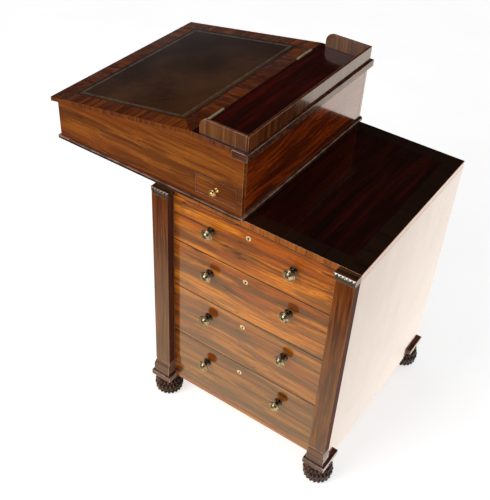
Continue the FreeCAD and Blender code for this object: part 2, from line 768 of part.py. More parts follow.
def gallery():
    """The low gallery round the fixed top: a rear rail and two ears with rounded front corners."""
    half = "(box_side - gallery_set)"
    rail_rear = "(box_rear + gallery_behind)"
    rail_front = f"({rail_rear} - gallery_thick)"
    top = "(lid_top_back + gallery_height)"
    node("gallery_rail", board("gallery_rail", (f"-{half}", half), (rail_front, rail_rear),
                               ("lid_top_back", top)))
    front = f"({rail_rear} - ear_length)"
    ear = [(rail_front, "lid_top_back"), (rail_front, top), (f"{front} + ear_round", top),
           (front, f"{top} - ear_round"), (front, "lid_top_back")]
    inner_half = f"({half} - gallery_thick)"
    node("gallery_ears",
         prism("gallery_ear_left", "YZ_Plane", ear, f"-{half}", f"-{inner_half}", {2: "ear_round"}),
         prism("gallery_ear_right", "YZ_Plane", ear, inner_half, half, {2: "ear_round"}))


def box_guides():
    """Dovetailed battens and stop blocks under the box floor, either side of the tongue."""
    low = "deck + slide_gap"
    inner_low = f"(tongue_low / 2 + tongue_gap + tongue_lean * ({low} - chest_top))"
    inner_high = "(tongue_low / 2 + tongue_gap + tongue_lean * (floor_under - chest_top))"
    outer = f"({inner_high} + batten_width)"
    pieces = []
    for sign in SIDES:
        points = [(f"{sign}{inner_low}", low), (f"{sign}{outer}", low), (f"{sign}{outer}", "floor_under"),
                  (f"{sign}{inner_high}", "floor_under")]
        pieces.append(prism("guide_batten", "XZ_Plane", points, "-inner_rear", "-inner_front"))
    half = "(tongue_low / 2)"
    stop_x = (f"-{half}", half)
    pieces.append(board("stop_block_front", stop_x, ("inner_front", "inner_front + front_stop"),
                        (low, "floor_under")))
    pieces.append(board("stop_block_rear", stop_x, ("inner_rear - rear_stop", "inner_rear"),
                        (low, "floor_under")))
    node("box_guides", *pieces)


# ---- pen drawer ---------------------------------------------------------------------------------

def pen_housing():
    """The partition, cover, runner and stop that make the pen drawer's case inside the box."""
    across = ("-box_inside", "box_inside")
    wall_y = ("pen_front - house_gap - house_wall", "pen_front - house_gap")
    cover_z = ("pen_high + house_gap", "pen_high + house_gap + house_wall")
    behind_y = (wall_y[1], "inner_rear")
    runner_top = "pen_low + pen_gap - run_gap"
    pieces = [board("pen_partition", across, wall_y, ("floor_top", cover_z[1])),
              board("pen_cover", across, behind_y, cover_z),
              board("pen_runner", across, behind_y, ("floor_top", runner_top)),
              board("pen_end_stop", ("pen_tray_end - run_gap - pen_stop", "pen_tray_end - run_gap"),
                    behind_y, (runner_top, cover_z[0]))]
    node("pen_housing", *pieces)


def pen_drawer():
    """The small side drawer: cock-beaded front, thin tray and one knob."""
    y = ("(pen_front + pen_gap)", "(pen_rear - pen_gap)")
    z = ("(pen_low + pen_gap)", "(pen_high - pen_gap)")
    middle_y = f"(({y[0]} + {y[1]}) / 2)"
    middle_z = f"(({z[0]} + {z[1]}) / 2)"
    blank = board("pen_front_blank", ("box_inside", "box_side"), y, z)
    bead_x = ("box_side - bead_deep", "box_side + bead_proud")
    frame = board("pen_bead_blank", bead_x, y, z)
    window = board("pen_bead_window", bead_x, (f"{y[0]} + bead_width", f"{y[1]} - bead_width"),
                   (f"{z[0]} + bead_width", f"{z[1]} - bead_width"))
    bead = cut("pen_bead", frame, [window])
    hole = rod("pen_knob_hole", "pen_screw + bore_gap * 2", ("box_inside", "box_side"), middle_y, middle_z)
    front = cut("pen_front_board", blank, [bead, hole])
    node("pen_drawer_front", front, bead)
    wall_z = (f"{z[0]} + pen_bottom", f"{z[1]} - pen_top_gap")
    walls_x = ("pen_tray_end", "box_inside")
    tray = [board("pen_tray_bottom", walls_x, y, (z[0], wall_z[0])),
            board("pen_tray_front", walls_x, (y[0], f"{y[0]} + pen_wall"), wall_z),
            board("pen_tray_rear", walls_x, (f"{y[1]} - pen_wall", y[1]), wall_z),
            board("pen_tray_end", ("pen_tray_end", "pen_tray_end + pen_wall"),
                  (f"{y[0]} + pen_wall", f"{y[1]} - pen_wall"), wall_z)]
    node("pen_drawer_tray", *tray)
    sizes = ("pen_knob_rose", "pen_knob_neck", "pen_knob_ring", "pen_knob_head", "pen_knob_tip",
             "pen_knob_crown", "pen_knob_under", "pen_knob_out", "pen_knob_step", "pen_screw")
    node("pen_drawer_knob", place(knob("pen_knob", sizes, "box_wall + pen_screw_end"), "box_side", middle_y,
                                  middle_z))


# ---- lid and hinges -----------------------------------------------------------------------------

def slope_board(name, y, x, under, over):
    """A board that follows the slope between two places along Y; under and over are its heights
    above the lid's underside."""
    points = [(place_y, f"lid_under_back + slope * (({place_y}) - hinge_y) + {height}")
              for place_y, height in ((y[0], under), (y[1], under), (y[1], over), (y[0], over))]
    return prism(name, "YZ_Plane", points, *x)


def lid():
    """The sloping lid, its let-in leather and the catch plate under its front edge."""
    blank = slope_board("lid_blank", ("lid_front", "lid_rear"), ("-lid_half", "lid_half"), "0", "lid_thick")
    skin_y = ("lid_front + leather_front", "lid_rear - leather_rear")
    skin_x = ("-(lid_half - leather_side)", "lid_half - leather_side")
    leather = slope_board("lid_leather", skin_y, skin_x, "lid_thick - leather_thick", "lid_thick")
    plate = slope_board("catch_plate", ("inner_front - lock_thick", "inner_front"),
                        ("-catch_plate / 2", "catch_plate / 2"), "0", "catch_plate_thick")
    hook_top = f"{wall_top('catch_y')} + lid_seat + catch_plate_thick / 2"
    hook = board("catch_hook", ("-catch_width / 2", "catch_width / 2"),
                 ("catch_y - catch_thick / 2", "catch_y + catch_thick / 2"),
                 ("wall_front_top - catch_deep", hook_top))
    node("lid_board", cut("lid_board", blank, [leather, plate] + hinge_room("lid", "-")))
    node("lid_leather", leather)
    node("lid_catch", fused("lid_catch", [plate, hook]))


def hinge_room(name, sign):
    """Shapes that a hinge takes from a board: room round the knuckles and the leaf's bed."""
    shapes = []
    for side in SIDES:
        middle = f"{side}(hinge_spread / 2)"
        along = (f"{middle} - hinge_length / 2 - knuckle_gap", f"{middle} + hinge_length / 2 + knuckle_gap")
        round_y = ("hinge_y - knuckle_clear", "hinge_y") if sign else ("hinge_y", "hinge_y + knuckle_clear")
        shapes.append(board(f"{name}_knuckle_room", along, round_y,
                            ("lid_top_back - knuckle_clear", "lid_top_back")))
        shapes.append(leaf(f"{name}_leaf_bed", middle, sign))
    return shapes


def leaf(name, middle, sign):
    """A hinge leaf standing in the joint, against the lid's edge or the fixed board's."""
    along = (f"{middle} - hinge_length / 2", f"{middle} + hinge_length / 2")
    if sign == "-":
        y = ("lid_rear - hinge_leaf", "lid_rear")
    else:
        y = ("hinge_y + joint_gap / 2", "hinge_y + joint_gap / 2 + hinge_leaf")
    return board(name, along, y, ("lid_top_back - leaf_deep", "lid_top_back - knuckle / 4"))


def hinge_half(name, middle, sign, first):
    """A leaf and every second knuckle from the first, bored for the pin."""
    pitch = f"(hinge_length / {KNUCKLES})"
    pieces = [leaf(f"{name}_leaf", middle, sign)]
    for turn in range(first, KNUCKLES, 2):
        start = f"{middle} - hinge_length / 2 + {pitch} * {turn}"
        ends = (f"{start} + knuckle_gap / 2", f"{start} + {pitch} - knuckle_gap / 2")
        pieces.append(rod(f"{name}_knuckle", "knuckle", ends, "hinge_y", "lid_top_back"))
    other_ends = [rod(f"{name}_room", "knuckle + knuckle_room",
                      (f"{middle} - hinge_length / 2 + {pitch} * {turn} - knuckle_gap / 2",
                       f"{middle} - hinge_length / 2 + {pitch} * ({turn} + 1) + knuckle_gap / 2"),
                      "hinge_y", "lid_top_back")
                  for turn in range(1 - first, KNUCKLES, 2)]
    whole = (f"{middle} - hinge_length / 2", f"{middle} + hinge_length / 2")
    bore = rod(f"{name}_bore", "pin + pin_gap * 2", whole, "hinge_y", "lid_top_back")
    return cut(name, fused(f"{name}_solid", pieces), other_ends + [bore])


def hinges():
    """Two five-knuckle brass butt hinges between the fixed top and the lid."""
    fixed = []
    moving = []
    pins = []
    for side in SIDES:
        middle = f"{side}(hinge_spread / 2)"
        fixed.append(hinge_half("hinge_fixed", middle, "", 0))
        moving.append(hinge_half("hinge_moving", middle, "-", 1))
        whole = (f"{middle} - hinge_length / 2", f"{middle} + hinge_length / 2")
        pins.append(rod("hinge_pin", "pin", whole, "hinge_y", "lid_top_back"))
    node("hinge_fixed_leaves", *fixed)
    node("hinge_lid_leaves", *moving)
    node("hinge_pins", *pins)


# ---- build, check and write ---------------------------------------------------------------------

def check_document():
    """Stop on any object that failed and any sub-part without a valid solid."""
    for item in doc.Objects:
        if {"Invalid", "Error"} & set(item.State):
            raise RuntimeError(f"{item.Name} is {item.State}")
    for item in nodes:
        shape = item.Shape
        if shape.isNull() or not shape.isValid() or not shape.Solids:
            raise RuntimeError(f"{item.Label} has no valid solid")


def main():
    """Build the desk, check it and write one STEP file for each sub-part."""
    fill_sheet()
    fill_places()
    chest_panels()
    chest_frame()
    drawer_guides()
    pilasters()
    plinths()
    feet()
    slide_tongue()
    for bay in DRAWERS:
        drawer(bay)
    box_walls()
    box_mouldings()
    gallery()
    box_guides()
    pen_housing()
    pen_drawer()
    lid()
    hinges()
    doc.recompute()
    check_document()
    os.makedirs("parts", exist_ok=True)
    for item in nodes:
        item.Shape.exportStep(f"parts/{item.Label}.step")
    print(len(nodes), "nodes")


main()
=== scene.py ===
"""A davenport desk in French-polished rosewood: the dressed model, its finishes and the studio round it.

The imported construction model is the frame. Boards keep its sizes and get softened arrises and veneers;
carved, turned and metal pieces are modelled again in full and stand for their construction nodes.
"""
import json
import logging
import math
from dataclasses import dataclass, replace
from enum import Enum
from typing import Callable, Iterable, Union

import bpy
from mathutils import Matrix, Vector

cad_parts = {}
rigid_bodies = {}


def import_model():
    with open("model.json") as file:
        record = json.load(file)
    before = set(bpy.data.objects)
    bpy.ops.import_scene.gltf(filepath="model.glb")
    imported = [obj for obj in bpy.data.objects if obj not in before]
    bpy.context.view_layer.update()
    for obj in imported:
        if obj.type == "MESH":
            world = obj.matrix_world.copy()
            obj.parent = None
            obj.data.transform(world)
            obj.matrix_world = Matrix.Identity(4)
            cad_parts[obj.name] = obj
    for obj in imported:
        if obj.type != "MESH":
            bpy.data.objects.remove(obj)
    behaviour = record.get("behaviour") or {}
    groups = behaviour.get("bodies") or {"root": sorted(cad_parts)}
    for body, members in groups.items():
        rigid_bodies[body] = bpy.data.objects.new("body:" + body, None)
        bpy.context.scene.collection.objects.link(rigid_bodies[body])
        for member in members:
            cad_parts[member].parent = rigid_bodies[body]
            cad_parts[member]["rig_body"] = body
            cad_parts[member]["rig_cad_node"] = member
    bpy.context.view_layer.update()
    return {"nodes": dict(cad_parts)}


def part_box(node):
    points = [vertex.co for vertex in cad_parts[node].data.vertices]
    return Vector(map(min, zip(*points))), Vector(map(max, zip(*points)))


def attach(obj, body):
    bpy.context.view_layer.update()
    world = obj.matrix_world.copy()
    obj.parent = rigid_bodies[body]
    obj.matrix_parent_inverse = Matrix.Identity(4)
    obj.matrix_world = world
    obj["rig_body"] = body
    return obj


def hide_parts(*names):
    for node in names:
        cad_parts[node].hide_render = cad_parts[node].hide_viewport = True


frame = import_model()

log = logging.getLogger("davenport")

Node, Socket, NodeTree = bpy.types.Node, bpy.types.NodeSocket, bpy.types.NodeTree
Piece, Material, Outputs = bpy.types.Object, bpy.types.Material, bpy.types.bpy_prop_collection
Value = Union[float, tuple, Socket]
Triple = tuple[float, float, float]
Colour = tuple[float, float, float]
Profile = tuple[tuple[float, float], ...]
Sockets = dict[str, Socket]

MM = 0.001
CENTRE = (0.0, 0.0, 0.0)
FACING_X = (math.radians(90.0), 0.0, math.radians(90.0))


# ---- Node trees ----
class Sheet:
    """A node tree being laid out, with short calls for the nodes that the finishes use."""

    def __init__(self, tree: NodeTree) -> None:
        """Starts with an empty tree."""
        self.tree = tree
        tree.nodes.clear()

    def node(self, kind: str, inputs: dict | None = None, **settings: object) -> Node:
        """Adds a node.

        Args:
            kind: the node's type, without the word ShaderNode where it has one.
            inputs: socket names or numbers, with what feeds each: a socket or a constant.
            settings: the node's own properties.

        Returns:
            The new node.
        """
        made = self.tree.nodes.new(kind if kind.startswith("Node") else "ShaderNode" + kind)
        for name, setting in settings.items():
            setattr(made, name, setting)
        for name, value in (inputs or {}).items():
            self.feed(made.inputs[name], value)
        return made

    def feed(self, socket: Socket, value: Value) -> None:
        """Links a socket to what feeds it, or sets its constant.

        Args:
            socket: the socket to feed.
            value: another node's socket, a number, a vector or a colour.
        """
        if isinstance(value, Socket):
            self.tree.links.new(value, socket)
        elif socket.type == "RGBA" and len(value) == 3:
            socket.default_value = (*value, 1.0)
        else:
            socket.default_value = value

    def math(self, operation: str, first: Value, second: Value = 0.0) -> Socket:
        """Works out a number from two others. Returns its socket."""
        return self.node("Math", {0: first, 1: second}, operation=operation).outputs[0]

    def times(self, first: Value, second: Value) -> Socket:
        """Multiplies two numbers. Returns the socket."""
        return self.math("MULTIPLY", first, second)

    def minus(self, first: Value, second: Value) -> Socket:
        """Takes one number from another. Returns the socket."""
        return self.math("SUBTRACT", first, second)

    def unsigned(self, value: Value) -> Socket:
        """Drops a number's sign. Returns the socket."""
        return self.math("ABSOLUTE", value)

    def vector(self, operation: str, first: Value, second: Value = CENTRE) -> Socket:
        """Works out a vector from two others. Returns its socket."""
        return self.node("VectorMath", {0: first, 1: second}, operation=operation).outputs[0]

    def along(self, first: Value, second: Value) -> Socket:
        """Measures how far one vector reaches along another. Returns the socket."""
        return self.node("VectorMath", {0: first, 1: second}, operation="DOT_PRODUCT").outputs["Value"]

    def parts(self, vector: Value) -> Outputs:
        """Takes a vector apart. Returns its three numbers' sockets."""
        return self.node("SeparateXYZ", {0: vector}).outputs

    def facing(self) -> Outputs:
        """Reads which way the surface faces on its piece. Returns the direction's sockets."""
        return self.parts(self.node("TexCoord").outputs["Normal"])

    def noise(self, at: Value, scale: Value, detail: float = 2.0, roughness: float = 0.5,
              output: str = "Fac") -> Socket:
        """Reads a noise texture. Returns that output's socket."""
        inputs = {"Vector": at, "Scale": scale, "Detail": detail, "Roughness": roughness}
        return self.node("TexNoise", inputs).outputs[output]

    def ramp(self, value: Value, low: Value, high: Value, first: Value = 0.0, last: Value = 1.0) -> Socket:
        """Eases from one number to another. Returns the result's socket."""
        inputs = {"Value": value, "From Min": low, "From Max": high, "To Min": first, "To Max": last}
        return self.node("MapRange", inputs, interpolation_type="SMOOTHSTEP").outputs["Result"]

    def mix(self, share: Value, first: Value, second: Value) -> Socket:
        """Mixes two colours or vectors. Returns the socket."""
        return self.node("Mix", {0: share, 6: first, 7: second}, data_type="RGBA").outputs[2]

    def blend(self, share: Value, first: Value, second: Value) -> Socket:
        """Mixes two numbers. Returns the socket."""
        return self.node("Mix", {0: share, 2: first, 3: second}, data_type="FLOAT").outputs[0]

    def bump(self, height: Value, strength: float, reach: float, under: Socket | None = None) -> Socket:
        """Turns a height into a relief.

        Args:
            height: the height's socket.
            strength: how much of it shows.
            reach: how high it is, in metres.
            under: the relief that it lies on.

        Returns:
            The normal's socket.
        """
        inputs = {"Height": height, "Strength": strength, "Distance": reach}
        inputs |= {"Normal": under} if under else {}
        return self.node("Bump", inputs).outputs[0]


class Effect(Sheet):
    """A shader node group that finishes share, built once. Each kind lays out its own nodes."""

    name: str
    takes: dict[str, str]
    gives: dict[str, str]

    def __init__(self) -> None:
        """Finds the group, or builds it the first time."""
        if self.name in bpy.data.node_groups:
            self.tree = bpy.data.node_groups[self.name]
            return
        super().__init__(bpy.data.node_groups.new(self.name, "ShaderNodeTree"))
        for way, sockets in (("INPUT", self.takes), ("OUTPUT", self.gives)):
            for label, kind in sockets.items():
                self.tree.interface.new_socket(label, in_out=way, socket_type=f"NodeSocket{kind}")
        self.node("NodeGroupOutput", self.lay_out(self.node("NodeGroupInput").outputs))

    def lay_out(self, take: Outputs) -> Sockets:
        """Lays out the nodes from the group's inputs. Returns what feeds each output."""
        raise NotImplementedError

    def placed(self, sheet: Sheet, inputs: dict[str, Value]) -> Outputs:
        """Places the group in a material with its own values. Returns the outputs."""
        return sheet.node("Group", inputs, node_tree=self.tree).outputs


class Figure(Effect):
    """Straight-grained exotic timber, with its grain along X: streaks, veins and pores."""

    name = "timber_figure"
    takes = {"At": "Vector", "Light": "Color", "Mid": "Color", "Dark": "Color", "Vein": "Color",
             "Wander": "Float", "Broad": "Float", "Fine": "Float", "Veins": "Float", "Vein depth": "Float"}
    gives = {"Color": "Color", "Height": "Float"}
    sway = (2.4, 7.0, 7.0)
    hairs = 1100.0
    pores = (70.0, 1300.0, 1300.0)

    def lay_out(self, take: Outputs) -> Sockets:
        """Lays out streaks at four sizes on one wandering line, then the pores.

        Args:
            take: the group's input sockets by name.

        Returns:
            What feeds each output.
        """
        slow = self.noise(self.vector("MULTIPLY", take["At"], self.sway), 1.0, output="Color")
        slow = self.vector("SUBTRACT", slow, (0.5, 0.5, 0.5))
        wander = self.node("VectorMath", {0: slow, "Scale": take["Wander"]}, operation="SCALE").outputs[0]
        bent = self.vector("ADD", take["At"], wander)

        def streaks(stretch: float, scale: Value, detail: float, shift: float = 0.0) -> Socket:
            """Reads streaks that run on for many times their width.

            Args:
                stretch: their width as a share of their length.
                scale: how many there are to the metre.
                detail: how many finer layers lie on them.
                shift: how far along the timber they are read.

            Returns:
                The socket.
            """
            inputs = {0: bent, 1: (stretch, 1.0, 1.0), 2: (shift, shift, shift)}
            return self.noise(self.node("VectorMath", inputs, operation="MULTIPLY_ADD").outputs[0],
                               scale, detail)

        broad = streaks(0.09, take["Broad"], 2.0)
        shade = streaks(0.06, self.times(take["Broad"], 1.6), 3.0, 3.0)
        fine = streaks(0.02, take["Fine"], 4.0)
        veins = streaks(0.03, take["Veins"], 2.0, 5.0)
        hair = streaks(0.012, self.hairs, 2.0)
        tone = self.mix(self.ramp(broad, 0.40, 0.60), take["Mid"], take["Light"])
        tone = self.mix(self.ramp(shade, 0.50, 0.60, 0.0, 0.75), tone, take["Dark"])
        tone = self.mix(self.ramp(fine, 0.47, 0.60, 0.0, 0.6), tone, take["Dark"])
        near_vein = self.unsigned(self.minus(veins, 0.5))
        vein = self.times(self.ramp(near_vein, 0.0, 0.014, 1.0, 0.0), self.ramp(shade, 0.4, 0.6, 0.2, 1.0))
        tone = self.mix(self.times(vein, take["Vein depth"]), tone, take["Vein"])
        tone = self.mix(self.ramp(hair, 0.4, 0.7, 0.0, 0.45), tone, take["Dark"])
        pore = self.ramp(self.noise(self.vector("MULTIPLY", take["At"], self.pores), 1.0, 1.0), 0.62, 0.7)
        tone = self.mix(self.times(pore, 0.5), tone, take["Vein"])
        return {"Color": tone, "Height": self.minus(self.times(hair, 0.15), pore)}


class Polish(Effect):
    """Old French polish: cloudy gloss, rubber marks and a slightly rippled film."""

    name = "old_polish"
    takes = {"At": "Vector", "Roughness": "Float"}
    gives = {"Roughness": "Float", "Height": "Float"}
    clouds = 14.0
    marks = (160.0, 420.0, 420.0)
    ripples = 60.0

    def lay_out(self, take: Outputs) -> Sockets:
        """Lays out the clouds, the rubber marks and the ripple.

        Args:
            take: the group's input sockets by name.

        Returns:
            What feeds each output.
        """
        cloud = self.noise(take["At"], self.clouds, 3.0)
        marks = self.noise(self.vector("MULTIPLY", take["At"], self.marks), 1.0, 3.0)
        gloss = self.math("ADD", take["Roughness"], self.ramp(cloud, 0.35, 0.7, 0.0, 0.07))
        gloss = self.math("ADD", gloss, self.ramp(marks, 0.55, 0.75, 0.0, 0.05))
        ripple = self.noise(take["At"], self.ripples, 1.0)
        height = self.math("ADD", self.times(ripple, 0.6), self.times(marks, 0.06))
        return {"Roughness": gloss, "Height": height}


class Crossbanding(Effect):
    """A band round the edge of a board, with pieces of veneer laid across it and a line inside it."""

    name = "crossbanding"
    takes = {"At": "Vector", "Centre": "Vector", "Reach": "Vector", "Piece": "Float"}
    gives = {"Band": "Float", "Grain": "Vector", "Tone": "Float", "Seam": "Float"}

    def lay_out(self, take: Outputs) -> Sockets:
        """Lays out the band's mask, the turned grain, a tone for each piece and the seams.

        Args:
            take: the group's input sockets by name.

        Returns:
            What feeds each output.
        """
        off = self.parts(self.vector("ABSOLUTE", self.vector("SUBTRACT", take["At"], take["Centre"])))
        reach = self.parts(take["Reach"])
        over_x, over_y = (self.minus(off[axis], reach[axis]) for axis in "XY")
        outside = self.math("MAXIMUM", over_x, over_y)
        band = self.ramp(outside, -0.3 * MM, 0.3 * MM)
        at_end = self.math("GREATER_THAN", over_x, over_y)
        place = self.parts(take["At"])
        turned = self.node("CombineXYZ", {0: place["Y"], 1: place["X"], 2: place["Z"]}).outputs[0]
        piece = self.math("DIVIDE", self.blend(at_end, place["X"], place["Y"]), take["Piece"])
        seed = self.node("CombineXYZ", {0: self.math("FLOOR", piece), 1: at_end}).outputs[0]
        joint = self.ramp(self.unsigned(self.minus(self.math("FRACT", piece), 0.5)), 0.493, 0.5)
        line = self.ramp(self.unsigned(outside), 0.3 * MM, 0.9 * MM, 1.0, 0.0)
        mitre = self.ramp(self.unsigned(self.minus(over_x, over_y)), 0.2 * MM, 0.7 * MM, 1.0, 0.0)
        seam = self.math("MAXIMUM", line, self.times(mitre, band))
        return {"Band": band, "Grain": self.mix(at_end, turned, take["At"]),
                "Tone": self.node("TexWhiteNoise", {"Vector": seed}).outputs["Value"],
                "Seam": self.math("MAXIMUM", seam, self.times(joint, band))}


class Patina(Effect):
    """Tarnish on old lacquered metal: dull clouds, darker in specks."""

    name = "patina"
    takes = {"At": "Vector"}
    gives = {"Dull": "Float", "Height": "Float"}
    clouds = 130.0
    specks = 900.0

    def lay_out(self, take: Outputs) -> Sockets:
        """Lays out the clouds and the specks.

        Args:
            take: the group's input sockets by name.

        Returns:
            What feeds each output.
        """
        cloud = self.noise(take["At"], self.clouds, 4.0, 0.6)
        spot = self.ramp(self.noise(take["At"], self.specks), 0.6, 0.72)
        dull = self.math("MAXIMUM", self.ramp(cloud, 0.38, 0.66), self.times(spot, 0.8))
        return {"Dull": dull, "Height": self.minus(self.times(cloud, 0.3), spot)}


# ---- Finishes ----
class Grain(Enum):
    """Which way the timber's fibres run, as the turn that brings them onto X."""

    ALONG_X = (0.0, 0.0, 0.0)
    ALONG_Y = (0.0, 0.0, math.radians(-90.0))
    UPRIGHT = (0.0, math.radians(90.0), 0.0)


class Arris(Enum):
    """How wide a board's rounded arrises are, in metres."""

    CRISP = 0.6 * MM
    PLAIN = 0.7 * MM
    FRONT = 0.8 * MM
    EASED = 0.9 * MM
    WORN = 1.0 * MM
    ROUND = 2.0 * MM


class Slot(Enum):
    """The record's material slots."""

    ROSEWOOD = "rosewood"
    CARCASS = "carcass_wood"
    BRASS = "brass"
    LEATHER = "leather"
    STEEL = "steel"


class Surface(Sheet):
    """A material's sheet, with the object coordinates of the piece that wears it."""

    def __init__(self, tree: NodeTree) -> None:
        """Starts with the coordinates alone."""
        super().__init__(tree)
        self.place = self.node("TexCoord").outputs["Object"]


@dataclass(frozen=True)
class Finish:
    """A finish by its name. Each kind lays out its own surface."""

    name: str

    def surface(self, sheet: Surface) -> Node:
        """Lays out the surface. Returns the shader."""
        raise NotImplementedError

    def material(self) -> Material:
        """Builds the material the first time.

        Returns:
            The material.
        """
        if self.name in bpy.data.materials:
            return bpy.data.materials[self.name]
        made = bpy.data.materials.new(self.name)
        made.use_nodes = True
        sheet = Surface(made.node_tree)
        sheet.node("OutputMaterial", {"Surface": self.surface(sheet).outputs[0]})
        return made


VEIN = (0.05, 0.010, 0.004)
# Painted highlight on carving: faces that lean this way mirror the key light and are painted pale, fading in
# over the height below.
HIGHLIGHT_WAY = (0.79, 0.0, 0.61)
HIGHLIGHT_FADE = 2.0 * MM
# The arris tone is broken into patches this many to the metre; pale tones paint a highlight, dark ones paint
# shade.
ARRIS_PATCHES_PER_METRE = 45.0
# Heights over which the painted shadow line fades out above and below.
SHADOW_ABOVE, SHADOW_BELOW = 1.5 * MM, 0.3 * MM


@dataclass(frozen=True)
class Rosewood(Finish):
    """Rosewood or another polished timber, with its grain, its tones and the polish on it.

    The tones are the light, the mid and the dark one. A band holds its field's centre, the field's half
    sizes and the length of its pieces. The painted highlight holds its pale tone, how far a face leans
    outwards and up, towards the key light's mirror direction, and the lowest height; its side holds from
    where to where along Y it grows and the share that it starts with, so it is painted weaker on the far
    side, where the light falls less.
    """

    tones: tuple[Colour, Colour, Colour]
    grain: Grain
    vein: Colour = VEIN
    lie: Triple = CENTRE
    wander: float = 0.02
    broad: float = 38.0
    fine: float = 170.0
    veins: float = 55.0
    vein_depth: float = 0.8
    gloss: float = 0.14
    coat: float = 1.0
    specular: float = 0.25
    arris_shading_and_wear: Colour = (0.35, 0.14, 0.06)
    band: tuple[Triple, Triple, float] | None = None
    band_light: Colour = (0.2, 0.05, 0.015)
    band_dark: Colour = (0.05, 0.012, 0.006)
    edge: Colour | None = None
    edge_dark: Colour = (0.08, 0.02, 0.008)
    gap_side_shade: Colour | None = None
    dull_shaded_sides: bool = False
    wear_and_highlight: tuple[Colour, float, float] | None = None
    highlight_side: Triple = (-1.0, -0.9, 1.0)
    shadow_line: tuple[float, float] | None = None
    slot: Slot = Slot.ROSEWOOD

    def _figure(self, sheet: Surface, at: Value, tones: tuple) -> Outputs:
        """Places the timber group with this finish's sizes.

        Args:
            sheet: the material's sheet.
            at: where it is read, with the grain along X.
            tones: the light, the mid and the dark tone.

        Returns:
            Its outputs.
        """
        return Figure().placed(sheet, {
            "At": at, "Light": tones[0], "Mid": tones[1], "Dark": tones[2], "Vein": self.vein,
            "Wander": self.wander, "Broad": self.broad, "Fine": self.fine, "Veins": self.veins,
            "Vein depth": self.vein_depth})

    def _banded(self, sheet: Surface, colour: Socket) -> Socket:
        """Lays the crossbanding round the field.

        Args:
            sheet: the material's sheet.
            colour: the field's colour.

        Returns:
            The new colour.
        """
        centre, reach, piece = self.band
        border = Crossbanding().placed(
            sheet, {"At": sheet.place, "Centre": centre, "Reach": reach, "Piece": piece})
        light = sheet.mix(border["Tone"], self.band_dark, self.band_light)
        mid = sheet.mix(0.5, light, self.band_dark)
        veneer = self._figure(sheet, border["Grain"], (light, mid, self.band_dark))["Color"]
        colour = sheet.mix(border["Band"], colour, veneer)
        return sheet.mix(sheet.times(border["Seam"], 0.75), colour, self.vein)

    def _edged(self, sheet: Surface, colour: Socket) -> Socket:
        """Lays the lipping and the painted shade on the sides in the gaps over the face's colour.

        Args:
            sheet: the material's sheet.
            colour: the face's colour.

        Returns:
            The new colour.
        """
        if self.edge:
            upright = sheet.ramp(sheet.unsigned(sheet.facing()["Z"]), 0.4, 0.6, 1.0, 0.0)
            stood = {"Vector": sheet.place, "Rotation": Grain.UPRIGHT.value}
            grain = sheet.node("Mapping", stood).outputs[0]
            lipping = self._figure(sheet, grain, (self.edge, self.edge, self.edge_dark))["Color"]
            colour = sheet.mix(upright, colour, lipping)
        # Painted shade: faces that don't face out along X, the sides in the gaps, are painted dark.
        if self.gap_side_shade:
            inside = sheet.ramp(sheet.facing()["X"], 0.2, 0.4, 1.0, 0.0)
            colour = sheet.mix(inside, colour, self.gap_side_shade)
        return colour

    def _wear_and_painted_light(self, sheet: Surface, colour: Socket) -> Socket:
        """Lays the arris tone, the painted highlight and the painted shadow line over a colour. The arris
        tone is edge wear with a painted highlight on pale mouldings and painted shade along the drawers'
        gaps.

        Args:
            sheet: the material's sheet.
            colour: the unused timber's colour.

        Returns:
            The new colour.
        """
        lies = sheet.parts(sheet.place)
        # Arris tone on the rounded faces: partly edge wear, partly painted highlight (pale tones) and
        # painted shade (dark tones along the drawers' gaps).
        arris = sheet.node("Attribute", attribute_name="arris").outputs["Fac"]
        arris_patches = sheet.ramp(sheet.noise(sheet.place, ARRIS_PATCHES_PER_METRE), 0.35, 0.65, 0.25, 0.9)
        colour = sheet.mix(sheet.times(arris, arris_patches), colour, self.arris_shading_and_wear)
        # Painted highlight: a pale tone on faces leaning towards the key light's mirror direction, above a
        # height, weaker along Y on the far side.
        if self.wear_and_highlight:
            tone, lean, lowest = self.wear_and_highlight
            start, end, share = self.highlight_side
            outward = sheet.along(sheet.node("TexCoord").outputs["Normal"], HIGHLIGHT_WAY)
            mark = sheet.times(sheet.ramp(outward, lean, lean + 0.05),
                               sheet.ramp(lies["Z"], lowest, lowest + HIGHLIGHT_FADE, 0.02, 0.95))
            mark = sheet.times(mark, sheet.ramp(lies["Y"], start, end, share, 1.0))
            colour = sheet.mix(mark, colour, tone)
        # Painted shadow: a dark line between two heights, the shade in the hollow between the plinth block
        # and its lip.
        if self.shadow_line:
            low, high = self.shadow_line
            line = sheet.times(sheet.ramp(lies["Z"], low - SHADOW_BELOW, low),
                               sheet.ramp(lies["Z"], high, high + SHADOW_ABOVE, 0.9, 0.0))
            colour = sheet.mix(line, colour, self.vein)
        return colour

    def surface(self, sheet: Surface) -> Node:
        """Lays out the timber, its wear and its polish.

        Args:
            sheet: the material's sheet.

        Returns:
            The shader.
        """
        turned = {"Vector": sheet.place, "Location": self.lie, "Rotation": self.grain.value}
        at = sheet.node("Mapping", turned).outputs[0]
        figure = self._figure(sheet, at, self.tones)
        colour = figure["Color"]
        if self.band:
            colour = self._banded(sheet, colour)
        colour = self._wear_and_painted_light(sheet, self._edged(sheet, colour))
        polish = Polish().placed(sheet, {"At": at, "Roughness": self.gloss})
        relief = sheet.bump(figure["Height"], 0.12, 0.4 * MM)
        relief = sheet.bump(polish["Height"], 0.05, 0.6 * MM, relief)
        roughness, coat = polish["Roughness"], self.coat
